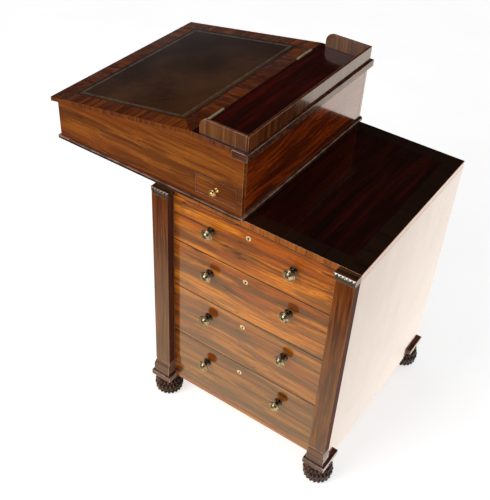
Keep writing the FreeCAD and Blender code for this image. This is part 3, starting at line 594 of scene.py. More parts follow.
        # Painted shade: side faces along Y get a duller polish and are painted darker.
        if self.dull_shaded_sides:
            side = sheet.ramp(sheet.unsigned(sheet.facing()["Y"]), 0.7, 0.9)
            colour = sheet.mix(sheet.times(side, 0.6), colour, self.vein)
            roughness = sheet.math("MAXIMUM", roughness, sheet.times(side, 0.8))
            coat = sheet.times(sheet.minus(1.0, side), self.coat)
        return sheet.node("BsdfPrincipled", {
            "Base Color": colour, "Roughness": roughness, "Normal": relief, "Coat Weight": coat,
            "Coat Roughness": 0.06, "Coat IOR": 1.5, "Specular IOR Level": self.specular})


@dataclass(frozen=True)
class Brass(Finish):
    """Cast and turned brass, tarnished in clouds, with painted shade that fades out between two places along
    X.
    """

    bright: Colour
    dull: Colour
    gloss: float = 0.2
    matt: float = 0.42
    metal: float = 1.0
    shade_span: tuple[float, float] | None = None
    shade_from: float = 0.0
    shade_tone: Colour = (0.025, 0.016, 0.010)
    slot: Slot = Slot.BRASS

    def surface(self, sheet: Surface) -> Node:
        """Lays out the metal, its tarnish and its painted shade.

        Args:
            sheet: the material's sheet.

        Returns:
            The shader.
        """
        patina = Patina().placed(sheet, {"At": sheet.place})
        colour = sheet.mix(patina["Dull"], self.bright, self.dull)
        # Painted shade: darker behind a place along X, round the roses behind the knob heads and inside the
        # keyholes.
        if self.shade_span:
            out = sheet.parts(sheet.place)["X"]
            shade_share = sheet.times(sheet.ramp(out, *self.shade_span, 0.88, 0.0),
                               sheet.math("GREATER_THAN", out, self.shade_from))
            colour = sheet.mix(shade_share, colour, self.shade_tone)
        return sheet.node("BsdfPrincipled", {
            "Base Color": colour, "Metallic": self.metal,
            "Roughness": sheet.ramp(patina["Dull"], 0.0, 1.0, self.gloss, self.matt),
            "Normal": sheet.bump(patina["Height"], 0.15, 0.3 * MM)})


@dataclass(frozen=True)
class Hide(Finish):
    """A skiver of dark hide with two tooled lines inside its edge, lighter towards +X and +Y."""

    light: Colour
    dark: Colour
    centre: Triple
    reach: Triple
    lines: tuple[float, ...]
    tooling: Colour
    lighter_towards: Triple = (0.5, 0.7, 0.0)
    clouds: float = 6.0
    cells: float = 620.0
    slot: Slot = Slot.LEATHER

    def surface(self, sheet: Surface) -> Node:
        """Lays out the hide, its grain and the tooled lines.

        Args:
            sheet: the material's sheet.

        Returns:
            The shader.
        """
        off_centre = sheet.vector("SUBTRACT", sheet.place, self.centre)
        cloud = sheet.noise(sheet.place, self.clouds, 5.0, 0.62)
        share = sheet.math("ADD", cloud, sheet.along(off_centre, self.lighter_towards))
        colour = sheet.mix(sheet.ramp(share, 0.22, 0.88), self.dark, self.light)
        cells = {"Vector": sheet.place, "Scale": self.cells}
        grain = sheet.node("TexVoronoi", cells, feature="DISTANCE_TO_EDGE").outputs["Distance"]
        grain = sheet.ramp(grain, 0.0, 0.2)
        colour = sheet.mix(sheet.times(sheet.minus(1.0, grain), 0.5), colour, self.dark)
        off = sheet.parts(sheet.vector("ABSOLUTE", off_centre))
        over_x, over_y = (sheet.minus(off[axis], reach) for axis, reach in zip("XY", self.reach))
        inset = sheet.math("MAXIMUM", over_x, over_y)
        tooled: Value = 0.0
        for line in self.lines:
            near = sheet.unsigned(sheet.math("ADD", inset, line))
            tooled = sheet.math("MAXIMUM", tooled, sheet.ramp(near, 0.5 * MM, 1.2 * MM, 1.0, 0.0))
        wear_and_highlight = sheet.ramp(sheet.noise(sheet.place, 70.0, 3.0), 0.35, 0.6, 0.35, 1.0)
        return sheet.node("BsdfPrincipled", {
            "Base Color": sheet.mix(sheet.times(tooled, wear_and_highlight), colour, self.tooling),
            "Roughness": sheet.ramp(cloud, 0.3, 0.7, 0.12, 0.18),
            "Normal": sheet.bump(sheet.minus(sheet.times(grain, 0.35), tooled), 0.14, 0.4 * MM),
            "Specular IOR Level": 0.12})


@dataclass(frozen=True)
class Steel(Finish):
    """Plain steel, greyed and lightly rusted."""

    colour: Colour = (0.35, 0.34, 0.33)
    rust: Colour = (0.12, 0.05, 0.025)
    slot: Slot = Slot.STEEL

    def surface(self, sheet: Surface) -> Node:
        """Lays out the steel and its rust.

        Args:
            sheet: the material's sheet.

        Returns:
            The shader.
        """
        patina = Patina().placed(sheet, {"At": sheet.place})
        return sheet.node("BsdfPrincipled", {
            "Base Color": sheet.mix(patina["Dull"], self.colour, self.rust),
            "Metallic": sheet.ramp(patina["Dull"], 0.0, 1.0, 1.0, 0.5),
            "Roughness": sheet.ramp(patina["Dull"], 0.0, 1.0, 0.3, 0.7),
            "Normal": sheet.bump(patina["Height"], 0.2, 0.3 * MM)})


def deeper(tones: Iterable[Colour], share: float) -> tuple[Colour, ...]:
    """Darkens tones evenly. Returns them."""
    return tuple(tuple(part * share for part in tone) for tone in tones)


GOLD = ((0.66, 0.20, 0.012), (0.40, 0.085, 0.006), (0.13, 0.042, 0.012))
FRONT_LIES = (CENTRE, (0.31, 0.17, 0.83), (0.74, 0.55, 0.41), (0.13, 0.91, 0.27))
# Painted shade: the four fronts share one veneer, painted darker from the top drawer down for the lower
# drawers' lesser light.
FRONT_SHADING = (1.32, 1.08, 0.86, 0.66)
# Their dark arris tone and dark sides are painted shade along the gaps between the drawers.
DRAWER_FRONT = [Rosewood(f"rosewood_drawer_{n + 1}", deeper(GOLD, depth), Grain.ALONG_Y, lie=lie, broad=36.0,
                         veins=48.0, vein_depth=1.0, wander=0.05, gap_side_shade=(0.030, 0.009, 0.004),
                         arris_shading_and_wear=(0.055, 0.016, 0.006))
                for n, (lie, depth) in enumerate(zip(FRONT_LIES, FRONT_SHADING))]
BOX_SIDE = Rosewood("rosewood_box_side", ((0.36, 0.105, 0.010), (0.23, 0.052, 0.005), (0.10, 0.022, 0.003)),
                    Grain.ALONG_Y, lie=(0.2, 0.6, 0.1), broad=24.0, fine=140.0, veins=34.0, vein_depth=0.6,
                    wander=0.06)
BOX_FRONT = replace(BOX_SIDE, name="rosewood_box_front", grain=Grain.ALONG_X, lie=(0.6, 0.2, 0.5))
# Its dark arris tone and dark sides are painted shade in the gap round the pen drawer.
PEN_FRONT = Rosewood("rosewood_pen_front",
                     ((0.34, 0.092, 0.009), (0.20, 0.044, 0.004), (0.09, 0.020, 0.003)), Grain.ALONG_Y,
                     lie=(0.5, 0.3, 0.7), broad=30.0, fine=140.0, vein_depth=0.5,
                     arris_shading_and_wear=(0.16, 0.05, 0.015), gap_side_shade=(0.010, 0.003, 0.002))
BOX_REAR = Rosewood("rosewood_box_rear", ((0.36, 0.052, 0.004), (0.17, 0.022, 0.002), (0.06, 0.008, 0.002)),
                    Grain.ALONG_X, vein_depth=0.4, broad=22.0, wander=0.07, coat=0.86)
CASE = Rosewood("rosewood_case", ((0.24, 0.065, 0.012), (0.16, 0.035, 0.007), (0.07, 0.016, 0.005)),
                Grain.UPRIGHT, broad=24.0, fine=90.0)
RAILS = Rosewood("rosewood_rails", GOLD, Grain.ALONG_Y, lie=(0.5, 0.2, 0.4))
# The shafts' sides along Y are painted darker: painted shade.
POSTS = Rosewood("rosewood_pilasters", ((0.24, 0.060, 0.006), (0.15, 0.032, 0.004), (0.06, 0.011, 0.002)),
                 Grain.UPRIGHT, lie=(0.3, 0.1, 0.6), broad=60.0, fine=190.0, vein_depth=0.5, coat=0.5,
                 dull_shaded_sides=True)
DARK_TOP = Rosewood("rosewood_chest_top",
                    ((0.042, 0.004, 0.0015), (0.020, 0.0025, 0.001), (0.008, 0.0015, 0.001)), Grain.ALONG_X,
                    vein=(0.003, 0.001, 0.001), edge=(0.44, 0.13, 0.02), edge_dark=(0.27, 0.07, 0.01),
                    band=((-0.011, 0.1444, 0.0), (0.216, 0.215, 1.0), 0.4), band_light=(0.03, 0.012, 0.006),
                    band_dark=(0.016, 0.006, 0.003), gloss=0.1, coat=0.7)
FIXED_TOP = Rosewood("rosewood_fixed_top",
                     ((0.080, 0.004, 0.0015), (0.038, 0.003, 0.001), (0.014, 0.002, 0.001)), Grain.ALONG_X,
                     edge=(0.2, 0.05, 0.012), broad=50.0, vein_depth=0.4, coat=0.45)
LID = Rosewood("rosewood_lid", ((0.05, 0.012, 0.004), (0.03, 0.006, 0.002), (0.02, 0.004, 0.001)),
               Grain.ALONG_X, band=((-0.011, -0.215, 0.0), (0.222, 0.156, 1.0), 0.085),
               band_light=(0.36, 0.080, 0.004), band_dark=(0.060, 0.009, 0.001), edge=(0.2, 0.05, 0.006),
               coat=0.22, specular=0.12)
GALLERY = Rosewood("rosewood_gallery", ((0.24, 0.09, 0.025), (0.17, 0.06, 0.016), (0.10, 0.032, 0.01)),
                   Grain.UPRIGHT, broad=70.0, fine=260.0, vein_depth=0.25, coat=0.7)
GALLERY_RAIL = replace(GALLERY, name="rosewood_gallery_rail", broad=50.0, fine=200.0, coat=0.5,
                       tones=((0.16, 0.045, 0.010), (0.10, 0.024, 0.005), (0.05, 0.011, 0.003)))
# Pale arris tone on the mouldings and the plinths' lips: a painted highlight with some edge wear.
MOULDING = Rosewood("rosewood_mouldings",
                    ((0.15, 0.062, 0.028), (0.095, 0.036, 0.016), (0.035, 0.012, 0.006)), Grain.ALONG_Y,
                    vein_depth=0.5, arris_shading_and_wear=(0.50, 0.27, 0.20), coat=0.3)
# The dark line on the plinths is a painted shadow in the hollow between the block and its lip.
PLINTH = replace(MOULDING, name="rosewood_plinths", arris_shading_and_wear=(0.66, 0.42, 0.34),
                 shadow_line=(80.2 * MM, 83.0 * MM),
                 tones=((0.24, 0.105, 0.065), (0.16, 0.066, 0.040), (0.055, 0.020, 0.012)))
# The capital's pale marks along its upper curls are a painted highlight, strongest on the near capital.
CAPITAL = Rosewood("rosewood_capital", ((0.115, 0.045, 0.014), (0.062, 0.024, 0.008), (0.014, 0.005, 0.002)),
                   Grain.ALONG_Y, fine=150.0, vein_depth=0.4, gloss=0.1, coat=0.18, specular=0.15,
                   wear_and_highlight=((1.0, 0.95, 0.88), 0.84, 669.0 * MM), highlight_side=(-0.15, 0.25, 0.22))
# The feet's pinkish marks on bumps that lean outwards and up are a painted highlight.
CARVING = Rosewood("rosewood_carving", ((0.050, 0.014, 0.008), (0.020, 0.006, 0.004), (0.008, 0.003, 0.002)),
                   Grain.UPRIGHT, fine=120.0, vein_depth=0.3, gloss=0.16, coat=0.08, specular=0.12,
                   wear_and_highlight=((0.15, 0.075, 0.055), 0.86, 0.0))
CARCASS = Rosewood("carcass_timber", ((0.50, 0.30, 0.14), (0.40, 0.22, 0.095), (0.26, 0.13, 0.05)),
                   Grain.ALONG_X, vein=(0.12, 0.05, 0.02), fine=110.0, vein_depth=0.3, gloss=0.5, coat=0.0,
                   arris_shading_and_wear=(0.5, 0.3, 0.15), slot=Slot.CARCASS)
# The knobs are painted dark towards the drawer front: painted shade behind their heads.
OLD_BRASS = Brass("brass_tarnished", (0.40, 0.32, 0.20), (0.16, 0.115, 0.065), matt=0.36,
                  shade_span=(0.2475, 0.262))
BRIGHT_BRASS = Brass("brass_bright", (0.86, 0.58, 0.22), (0.42, 0.24, 0.08), gloss=0.15, matt=0.3)
PALE_BRASS = Brass("brass_pale", (0.90, 0.74, 0.46), (0.62, 0.47, 0.27), gloss=0.3, metal=0.55)
# The bushes are painted dark from just behind their faces: painted shade inside the keyholes.
KEY_BRASS = Brass("brass_keyholes", (1.0, 0.84, 0.52), (0.88, 0.64, 0.34), gloss=0.22, matt=0.36, metal=0.45,
                  shade_span=(0.2446, 0.2451), shade_from=0.228)
SKIVER = Hide("leather_skiver", (0.098, 0.034, 0.008), (0.018, 0.005, 0.002), centre=(-0.011, -0.2195, 0.0),
              reach=(0.224, 0.15595, 0.0), lines=(0.0095, 0.0135), tooling=(0.17, 0.125, 0.085))
OLD_STEEL = Steel("steel_greyed")


# ---- The bench: operators used as by hand ----
class Bench:
    """Where pieces are modelled: every step deselects first and picks what it works on by place."""

    @staticmethod
    def take(*pieces: Piece) -> None:
        """Makes some pieces the only selected ones.

        Args:
            pieces: the pieces, of which the first becomes the active one.
        """
        bpy.ops.object.select_all(action="DESELECT")
        for piece in pieces:
            piece.select_set(True)
        bpy.context.view_layer.objects.active = pieces[0]

    @staticmethod
    def edit(piece: Piece, action: str = "SELECT") -> None:
        """Opens a piece for editing.

        Args:
            piece: the piece.
            action: SELECT or DESELECT, for all its points.
        """
        Bench.take(piece)
        bpy.ops.object.mode_set(mode="EDIT")
        bpy.ops.mesh.select_mode(type="VERT")
        bpy.ops.mesh.select_all(action=action)

    @staticmethod
    def leave() -> None:
        """Ends editing."""
        bpy.ops.object.mode_set(mode="OBJECT")

    @staticmethod
    def pick(piece: Piece, chosen: Callable[[Vector], bool]) -> None:
        """Opens a piece for editing with some of its points selected.

        Args:
            piece: the piece.
            chosen: the test that a selected point's place passes.
        """
        Bench.edit(piece, "DESELECT")
        Bench.leave()
        for vertex in piece.data.vertices:
            vertex.select = chosen(vertex.co)
        bpy.ops.object.mode_set(mode="EDIT")

    @staticmethod
    def shift(piece: Piece, chosen: Callable[[Vector], bool], by: Triple) -> None:
        """Moves some of a piece's points.

        Args:
            piece: the piece.
            chosen: the test that a moved point's place passes.
            by: how far they move.
        """
        Bench.pick(piece, chosen)
        bpy.ops.transform.translate(value=by)
        Bench.leave()

    @staticmethod
    def keep_between(piece: Piece, near: float, far: float) -> None:
        """Deletes what of a piece lies outside two places along Y.

        Args:
            piece: the piece.
            near: the lower place.
            far: the higher one.
        """
        Bench.pick(piece, lambda at: not near < at.y < far)
        bpy.ops.mesh.delete(type="VERT")
        Bench.leave()

    @staticmethod
    def keep_behind(piece: Piece, face: float) -> None:
        """Cuts off what of a piece lies in front of a place along X, and caps the cut.

        Args:
            piece: the piece.
            face: where it is cut.
        """
        Bench.edit(piece)
        bpy.ops.mesh.bisect(plane_co=(face, 0.0, 0.0), plane_no=(1.0, 0.0, 0.0), clear_outer=True,
                            use_fill=True)
        Bench.leave()

    @staticmethod
    def named(piece: Piece, name: str) -> Piece:
        """Names a piece and its mesh. Returns it."""
        piece.name = piece.data.name = name
        return piece

    @staticmethod
    def joined(name: str, parts: list[Piece]) -> Piece:
        """Joins pieces into one.

        Args:
            name: the new piece's name.
            parts: the pieces, which are used up.

        Returns:
            The new piece.
        """
        Bench.take(*parts)
        bpy.ops.object.join()
        return Bench.named(bpy.context.view_layer.objects.active, name)

    @staticmethod
    def copy_of(name: str, node: str) -> Piece:
        """Copies a construction node into a piece with whole faces.

        Args:
            name: the new piece's name.
            node: the node to copy.

        Returns:
            The new piece, with its doubles merged and its flat faces joined.
        """
        piece = frame["nodes"][node].copy()
        piece.data = piece.data.copy()
        piece.data.materials.clear()
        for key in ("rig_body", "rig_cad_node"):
            del piece[key]
        piece.parent = None
        bpy.context.scene.collection.objects.link(piece)
        Bench.edit(Bench.named(piece, name))
        bpy.ops.mesh.remove_doubles(threshold=0.01 * MM)
        bpy.ops.mesh.customdata_custom_splitnormals_clear()
        bpy.ops.mesh.dissolve_limited(angle_limit=math.radians(0.5))
        Bench.leave()
        return piece

    @staticmethod
    def apply(piece: Piece, kind: str, **settings: object) -> None:
        """Adds a modifier to a piece and applies it.

        Args:
            piece: the piece.
            kind: the modifier's type.
            settings: the modifier's own properties.
        """
        Bench.take(piece)
        modifier = piece.modifiers.new(kind.lower(), kind)
        for name, value in settings.items():
            setattr(modifier, name, value)
        bpy.ops.object.modifier_apply(modifier=modifier.name)

    @staticmethod
    def smooth(piece: Piece, angle: float = 40.0) -> None:
        """Shades a piece smooth, save over edges sharper than an angle in degrees."""
        Bench.take(piece)
        bpy.ops.object.shade_smooth_by_angle(angle=math.radians(angle))

    @staticmethod
    def soften(piece: Piece, arris: Arris) -> None:
        """Rounds every arris of a piece and marks the rounded faces for the arris tone: edge wear, with a
        painted highlight where the tone is pale and painted shade where it is dark.

        Args:
            piece: the piece.
            arris: how wide the rounding is.
        """
        piece.data.materials.clear()
        for _ in range(2):
            piece.data.materials.append(None)
        for face in piece.data.polygons:
            face.material_index = 0
        Bench.apply(piece, "BEVEL", width=arris.value, segments=3, limit_method="ANGLE",
                    angle_limit=math.radians(25.0), material=1, use_clamp_overlap=True)
        rounded = piece.data.attributes.new("arris", "FLOAT", "FACE")
        for face, mark in zip(piece.data.polygons, rounded.data):
            mark.value = float(face.material_index)
            face.material_index = 0
        piece.data.materials.clear()
        Bench.smooth(piece)
        Bench.apply(piece, "WEIGHTED_NORMAL", mode="FACE_AREA", weight=100, keep_sharp=True)

    @staticmethod
    def settled(piece: Piece, name: str) -> Piece:
        """Names a piece and puts its place into its mesh.

        Args:
            piece: the piece.
            name: its name.

        Returns:
            The piece.
        """
        Bench.take(piece)
        bpy.ops.object.transform_apply(location=True, rotation=True, scale=True)
        return Bench.named(piece, name)

    @staticmethod
    def turned(name: str, outline: list[tuple[float, float]], steps: int = 40) -> Piece:
        """Turns a piece on the lathe, about Z.

        Args:
            name: the piece's name.
            outline: its profile as heights and radii, in metres, from the bottom to the top of the axis.
            steps: how many faces go round it.

        Returns:
            The closed piece.
        """
        bpy.ops.object.select_all(action="DESELECT")
        height, radius = outline[0]
        bpy.ops.mesh.primitive_plane_add(size=MM, location=CENTRE)
        Bench.edit(bpy.context.object)
        bpy.ops.mesh.merge(type="CENTER")
        bpy.ops.mesh.select_all(action="SELECT")
        bpy.ops.transform.translate(value=(radius, 0.0, height))
        for (low, near), (high, far) in zip(outline, outline[1:]):
            step = (far - near, 0.0, high - low)
            bpy.ops.mesh.extrude_vertices_move(TRANSFORM_OT_translate={"value": step})
        bpy.ops.mesh.select_all(action="SELECT")
        bpy.ops.mesh.spin(steps=steps, angle=2.0 * math.pi, center=CENTRE, axis=(0.0, 0.0, 1.0))
        bpy.ops.mesh.select_all(action="SELECT")
        bpy.ops.mesh.remove_doubles(threshold=0.02 * MM)
        bpy.ops.mesh.normals_make_consistent(inside=False)
        Bench.leave()
        return Bench.settled(bpy.context.object, name)

    @staticmethod
    def bulb(place: Triple, reach: Triple, turn: Triple = CENTRE, rings: int = 8) -> Piece:
        """Adds one rounded swelling, to be fused into a carving.

        Args:
            place: its middle.
            reach: its half sizes.
            turn: how it is turned.
            rings: how finely it is made.

        Returns:
            The swelling.
        """
        bpy.ops.object.select_all(action="DESELECT")
        bpy.ops.mesh.primitive_uv_sphere_add(segments=2 * rings, ring_count=rings, radius=1.0,
                                             location=place, rotation=turn, scale=reach)
        return Bench.settled(bpy.context.object, "swelling")

    @staticmethod
    def carved(name: str, parts: list[Piece], fineness: float) -> Piece:
        """Fuses swellings and a body into one carved skin.

        Args:
            name: the new piece's name.
            parts: the swellings and the body, which are used up.
            fineness: the size of the skin's faces, in metres.

        Returns:
            The new piece.
        """
        made = Bench.joined(name, parts)
        Bench.apply(made, "REMESH", mode="VOXEL", voxel_size=fineness, use_smooth_shade=True)
        Bench.apply(made, "SMOOTH", factor=0.5, iterations=1)
        return made

    @staticmethod
    def repeated(piece: Piece, name: str, place: Triple, turn: Triple = CENTRE) -> Piece:
        """Copies a piece with a mesh of its own, turned and then moved.

        Args:
            piece: the pattern.
            name: the copy's name.
            place: where it goes.
            turn: how it is turned.

        Returns:
            The copy.
        """
        made = piece.copy()
        made.data = piece.data.copy()
        bpy.context.scene.collection.objects.link(made)
        made.rotation_euler, made.location = turn, place
        return Bench.settled(made, name)

    @staticmethod
    def discard(*pieces: Piece) -> None:
        """Takes pattern pieces off the bench."""
        for piece in pieces:
            bpy.data.objects.remove(piece)


# ---- Turned and carved pieces ----
@dataclass
class BunFoot:
    """A carved bun foot: petals round a bun, with a row of beads over them and one under.

    The profile holds heights and radii from the floor up. Each row holds its radius, its height and the
    half sizes of its bumps. All of these are in millimetres.
    """

    profile: Profile = ((4.0, 0.0), (4.0, 22.0), (9.0, 28.0), (17.0, 31.0), (28.0, 32.0), (40.0, 30.5),
                        (50.0, 28.5), (57.0, 27.5), (59.0, 28.5), (60.0, 31.0), (65.0, 31.0), (65.0, 0.0))
    rows: tuple = ((31.0, 13.5, (5.8, 5.0, 7.5)), (32.6, 28.0, (5.9, 5.3, 9.5)),
                   (29.8, 44.0, (5.4, 4.8, 7.5)))
    bumps: int = 20
    sides: int = 48
    fineness: float = 1.22 * MM

    def build(self, name: str) -> Piece:
        """Builds one foot, standing at the origin.

        Args:
            name: its name.

        Returns:
            The foot.
        """
        core = [(height * MM, radius * MM) for height, radius in self.profile]
        parts = [Bench.turned("foot_core", core, self.sides)]
        for row, (radius, height, reach) in enumerate(self.rows):
            for n in range(self.bumps):
                way = 2.0 * math.pi * (n + row / 2.0) / self.bumps
                place = (radius * MM * math.cos(way), radius * MM * math.sin(way), height * MM)
                parts.append(Bench.bulb(place, tuple(half * MM for half in reach), (0.0, 0.0, way)))
        return Bench.carved(name, parts, self.fineness)


@dataclass(frozen=True)
class Level:
    """A level of a capital's block, and how far its sides are drawn in and its points raised."""

    floor: float
    ceiling: float
    back: float
    inner: float
    outer: float
    rise: float


@dataclass
class Capital:
    """A carved capital: a row of curls along the slab's arris, with three rows of small leaves under it.

    Each leaf row holds how far it stands out, as a share of the slab's overhang, and how far it lies
    under the top.
    """

    middle: float
    shaft_face: float
    outward: float
    levels: tuple[Level, ...] = (
        Level(665.0 * MM, 680.0 * MM, back=-7.2 * MM, inner=4.4 * MM, outer=7.0 * MM, rise=0.0),
        Level(655.0 * MM, 665.0 * MM, back=-3.6 * MM, inner=1.8 * MM, outer=2.6 * MM, rise=0.0),
        Level(645.0 * MM, 655.0 * MM, back=0.0, inner=0.0, outer=-1.8 * MM, rise=8.0 * MM))
    curls: int = 6
    curl: Triple = (4.0 * MM, 3.9 * MM, 4.2 * MM)
    curl_proud: float = 2.2 * MM
    leaf: Triple = (2.6 * MM, 3.1 * MM, 3.8 * MM)
    leaf_turn: Triple = (0.0, math.radians(20.0), 0.0)
    leaf_set: float = 1.0 * MM
    leaf_rows: Profile = ((0.85, 8.0 * MM), (0.5, 12.5 * MM), (0.2, 16.5 * MM))
    narrowing: float = 2.0 * MM
    hair: float = 0.1 * MM
    fineness: float = 0.7 * MM

    def draw_in(self, block: Piece) -> None:
        """Gives the block its finished outline: lower, and hardly wider than the shaft.

        Args:
            block: the capital's rough shape.
        """
        def side(at: Vector) -> float:
            """Measures how far a point lies on the outer side. Returns the distance."""
            return (at.y - self.middle) * self.outward

        moves = ((lambda at: at.x > self.shaft_face + self.hair, lambda level: (level.back, 0.0, 0.0)),
                 (lambda at: side(at) > 0.0, lambda level: (0.0, -self.outward * level.outer, 0.0)),
                 (lambda at: side(at) < 0.0, lambda level: (0.0, self.outward * level.inner, 0.0)),
                 (lambda at: True, lambda level: (0.0, 0.0, level.rise)))
        for level in self.levels:
            for chosen, by in moves:
                Bench.shift(block, lambda at: level.floor < at.z < level.ceiling and chosen(at), by(level))

    def build(self, name: str, block: Piece) -> Piece:
        """Carves a block that already has the capital's rough shape.

        Args:
            name: the capital's name.
            block: the rough shape, which is used up.

        Returns:
            The capital.
        """
        self.draw_in(block)
        places = [vertex.co for vertex in block.data.vertices]
        near, far = min(at.y for at in places), max(at.y for at in places)
        face, top = max(at.x for at in places), max(at.z for at in places)
        width, middle = far - near, (near + far) / 2.0
        parts = [block]
        for n in range(self.curls):
            place = (face - self.curl[0] + self.curl_proud, near + width * (n + 0.5) / self.curls,
                     top - self.curl[2] + self.hair)
            parts.append(Bench.bulb(place, self.curl))
        for row, (share, fall) in enumerate(self.leaf_rows):
            count = self.curls + 1 - row % 2
            for n in range(count):
                off = ((n + 0.5) / count - 0.5) * (width - self.narrowing * (row + 1))
                out = self.shaft_face - self.leaf_set + (face - self.shaft_face) * share
                parts.append(Bench.bulb((out, middle + off, top - fall), self.leaf, self.leaf_turn))
        return Bench.carved(name, parts, self.fineness)


ROSE = ((0.0, 0.0), (0.0, 1.0), (0.4, 1.0), (0.7, 0.93), (0.9, 0.78))
DISHED_HEAD = ((0.03, 1.0), (0.16, 0.99), (0.25, 0.95), (0.31, 0.88), (0.33, 0.82), (0.32, 0.78),
               (0.36, 0.74), (0.50, 0.68), (0.67, 0.58), (0.82, 0.44), (0.93, 0.28), (0.985, 0.12),
               (1.0, 0.0))


@dataclass(frozen=True)
class Knob:
    """A turned brass knob: rose, neck, ring and a head with a grooved rim and a dome, along Z."""

    crown: float
    under: float
    neck: float
    ring: float
    rose: float
    step: float
    out: float = 0.0
    head: float = 0.0
    screw_inset: float = 0.2 * MM
    smoothing: float = 50.0

    def outline(self) -> list[tuple[float, float]]:
        """Draws the profile: each stretch has its start, its unit of height, its radius and its turns.

        Returns:
            The heights and radii.
        """
        shoulder = self.out - self.crown
        collar = shoulder - self.under
        stretches = ((0.0, self.step, self.rose, ROSE),
                     (0.0, self.step, self.neck, ((1.3, 1.3), (1.9, 1.0))),
                     (collar, self.step, self.neck, ((-1.0, 1.0),)),
                     (collar, self.step, self.ring, ((-0.8, 0.93), (-0.5, 1.0), (-0.2, 0.93))),
                     (collar, self.step, self.neck, ((0.0, 1.02),)),
                     (shoulder, self.under, self.head, ((-0.55, 0.66), (-0.2, 0.93))),
                     (shoulder, self.crown, self.head, DISHED_HEAD))
        return [(start + unit * up, width / 2.0 * share)
                for start, unit, width, turns in stretches for up, share in turns]

    def fitted(self, name: str, node: str, face: float, count: int) -> Piece:
        """Turns the knobs that a node stands for; the screws behind keep their shape.

        Args:
            name: the new piece's name.
            node: the construction node of the knobs and their screws.
            face: where along X the knobs' roses stand.
            count: how many knobs there are in the row, one or two.

        Returns:
            The knobs and screws as one piece.
        """
        low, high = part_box(node)
        head = high.z - low.z
        pattern = Bench.turned("knob", replace(self, out=high.x - face, head=head).outline())
        Bench.smooth(pattern, self.smoothing)
        half = head / 2.0 if count > 1 else (high.y - low.y) / 2.0
        shown = [Bench.repeated(pattern, "knob", (face, y, (low.z + high.z) / 2.0), FACING_X)
                 for y in (low.y + half, high.y - half)[:count]]
        Bench.discard(pattern)
        behind = Bench.copy_of("knob_screws", node)
        Bench.keep_behind(behind, face - self.screw_inset)
        return Bench.joined(name, shown + [behind])


PEN_KNOB = Knob(crown=7.0 * MM, under=2.0 * MM, neck=6.0 * MM, ring=8.5 * MM, rose=12.0 * MM, step=1.6 * MM)
DRAWER_KNOB = Knob(crown=10.0 * MM, under=5.0 * MM, neck=10.0 * MM, ring=15.0 * MM, rose=22.0 * MM,
                   step=2.5 * MM)


@dataclass
class Escutcheon:
    """A round brass keyhole bush with a domed rim, facing along Z.

    The dome holds heights as shares of how proud it stands, and radii as shares of the rim's.
    """

    radius: float = 6.5 * MM
    proud: float = 0.9 * MM
    depth: float = 4.0 * MM
    shank: float = 0.9
    dome: Profile = ((0.0, 0.9), (0.0, 1.0), (0.55, 0.97), (0.95, 0.86), (1.0, 0.72), (0.8, 0.58),
                     (0.7, 0.0))
    sides: int = 32
    smoothing: float = 35.0
    hole: float = 2.6 * MM
    slot: Triple = (3.0 * MM, 5.2 * MM, 44.0 * MM)

    def bush(self) -> Piece:
        """Turns the bush.

        Returns:
            The bush.
        """
        back = [(-self.depth, 0.0), (-self.depth, self.radius * self.shank)]
        front = [(self.proud * up, self.radius * share) for up, share in self.dome]
        made = Bench.turned("bush", back + front, self.sides)
        Bench.smooth(made, self.smoothing)
        return made

    def pierce(self, piece: Piece, place: Triple) -> None:
        """Cuts a keyhole into a piece, from in front and far in.

        Args:
            piece: the piece.
            place: the keyhole's middle on its face.
        """
        bpy.ops.object.select_all(action="DESELECT")
        bpy.ops.mesh.primitive_cylinder_add(vertices=20, radius=self.hole, depth=self.slot[2],
                                            location=CENTRE)
        bore = Bench.settled(bpy.context.object, "key_bore")
        bpy.ops.object.select_all(action="DESELECT")
        bpy.ops.mesh.primitive_cube_add(size=1.0, location=(0.0, -self.slot[1] / 2.0, 0.0), scale=self.slot)
        slot = Bench.settled(bpy.context.object, "key_slot")
        for pattern in (bore, slot):
            cutter = Bench.repeated(pattern, "cutter", place, FACING_X)
            Bench.apply(piece, "BOOLEAN", operation="DIFFERENCE", solver="EXACT", object=cutter)
            Bench.discard(pattern, cutter)


# ---- The desk's sub-assemblies ----
def dress(piece: Piece, finish: Finish) -> None:
    """Gives a piece its finish.

    Args:
        piece: the piece, or a construction node that stays in view.
        finish: its finish.
    """
    piece.data.materials.clear()
    piece.data.materials.append(finish.material())


@dataclass
class Assembly:
    """A body of the desk, and the calls that fit its pieces."""

    body: str

    def fit(self, piece: Piece, finish: Finish, node: str) -> None:
        """Dresses a piece, hangs it on the body and lets it stand for its node.

        Args:
            piece: the piece.
            finish: its finish.
            node: the construction node.
        """
        dress(piece, finish)
        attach(piece, self.body)
        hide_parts(node)
        log.info("%s rides on %s: %d faces", piece.name, self.body, len(piece.data.polygons))

    def board(self, name: str, finish: Finish, node: str, arris: Arris = Arris.PLAIN) -> None:
        """Makes a softened board from a construction node.

        Args:
            name: the piece's name.
            finish: its finish.
            node: the node that it stands for.
            arris: how wide its rounded arrises are, in metres.
        """
        piece = Bench.copy_of(name, node)
        Bench.soften(piece, arris)
        self.fit(piece, finish, node)

    def keep(self, finish: Finish, *nodes: str) -> None:
        """Gives construction nodes that stay in view their finish.

        Args:
            finish: the finish.
            nodes: the nodes.
        """
        for node in nodes:
            dress(frame["nodes"][node], finish)
            log.info("%s keeps its shape", node)


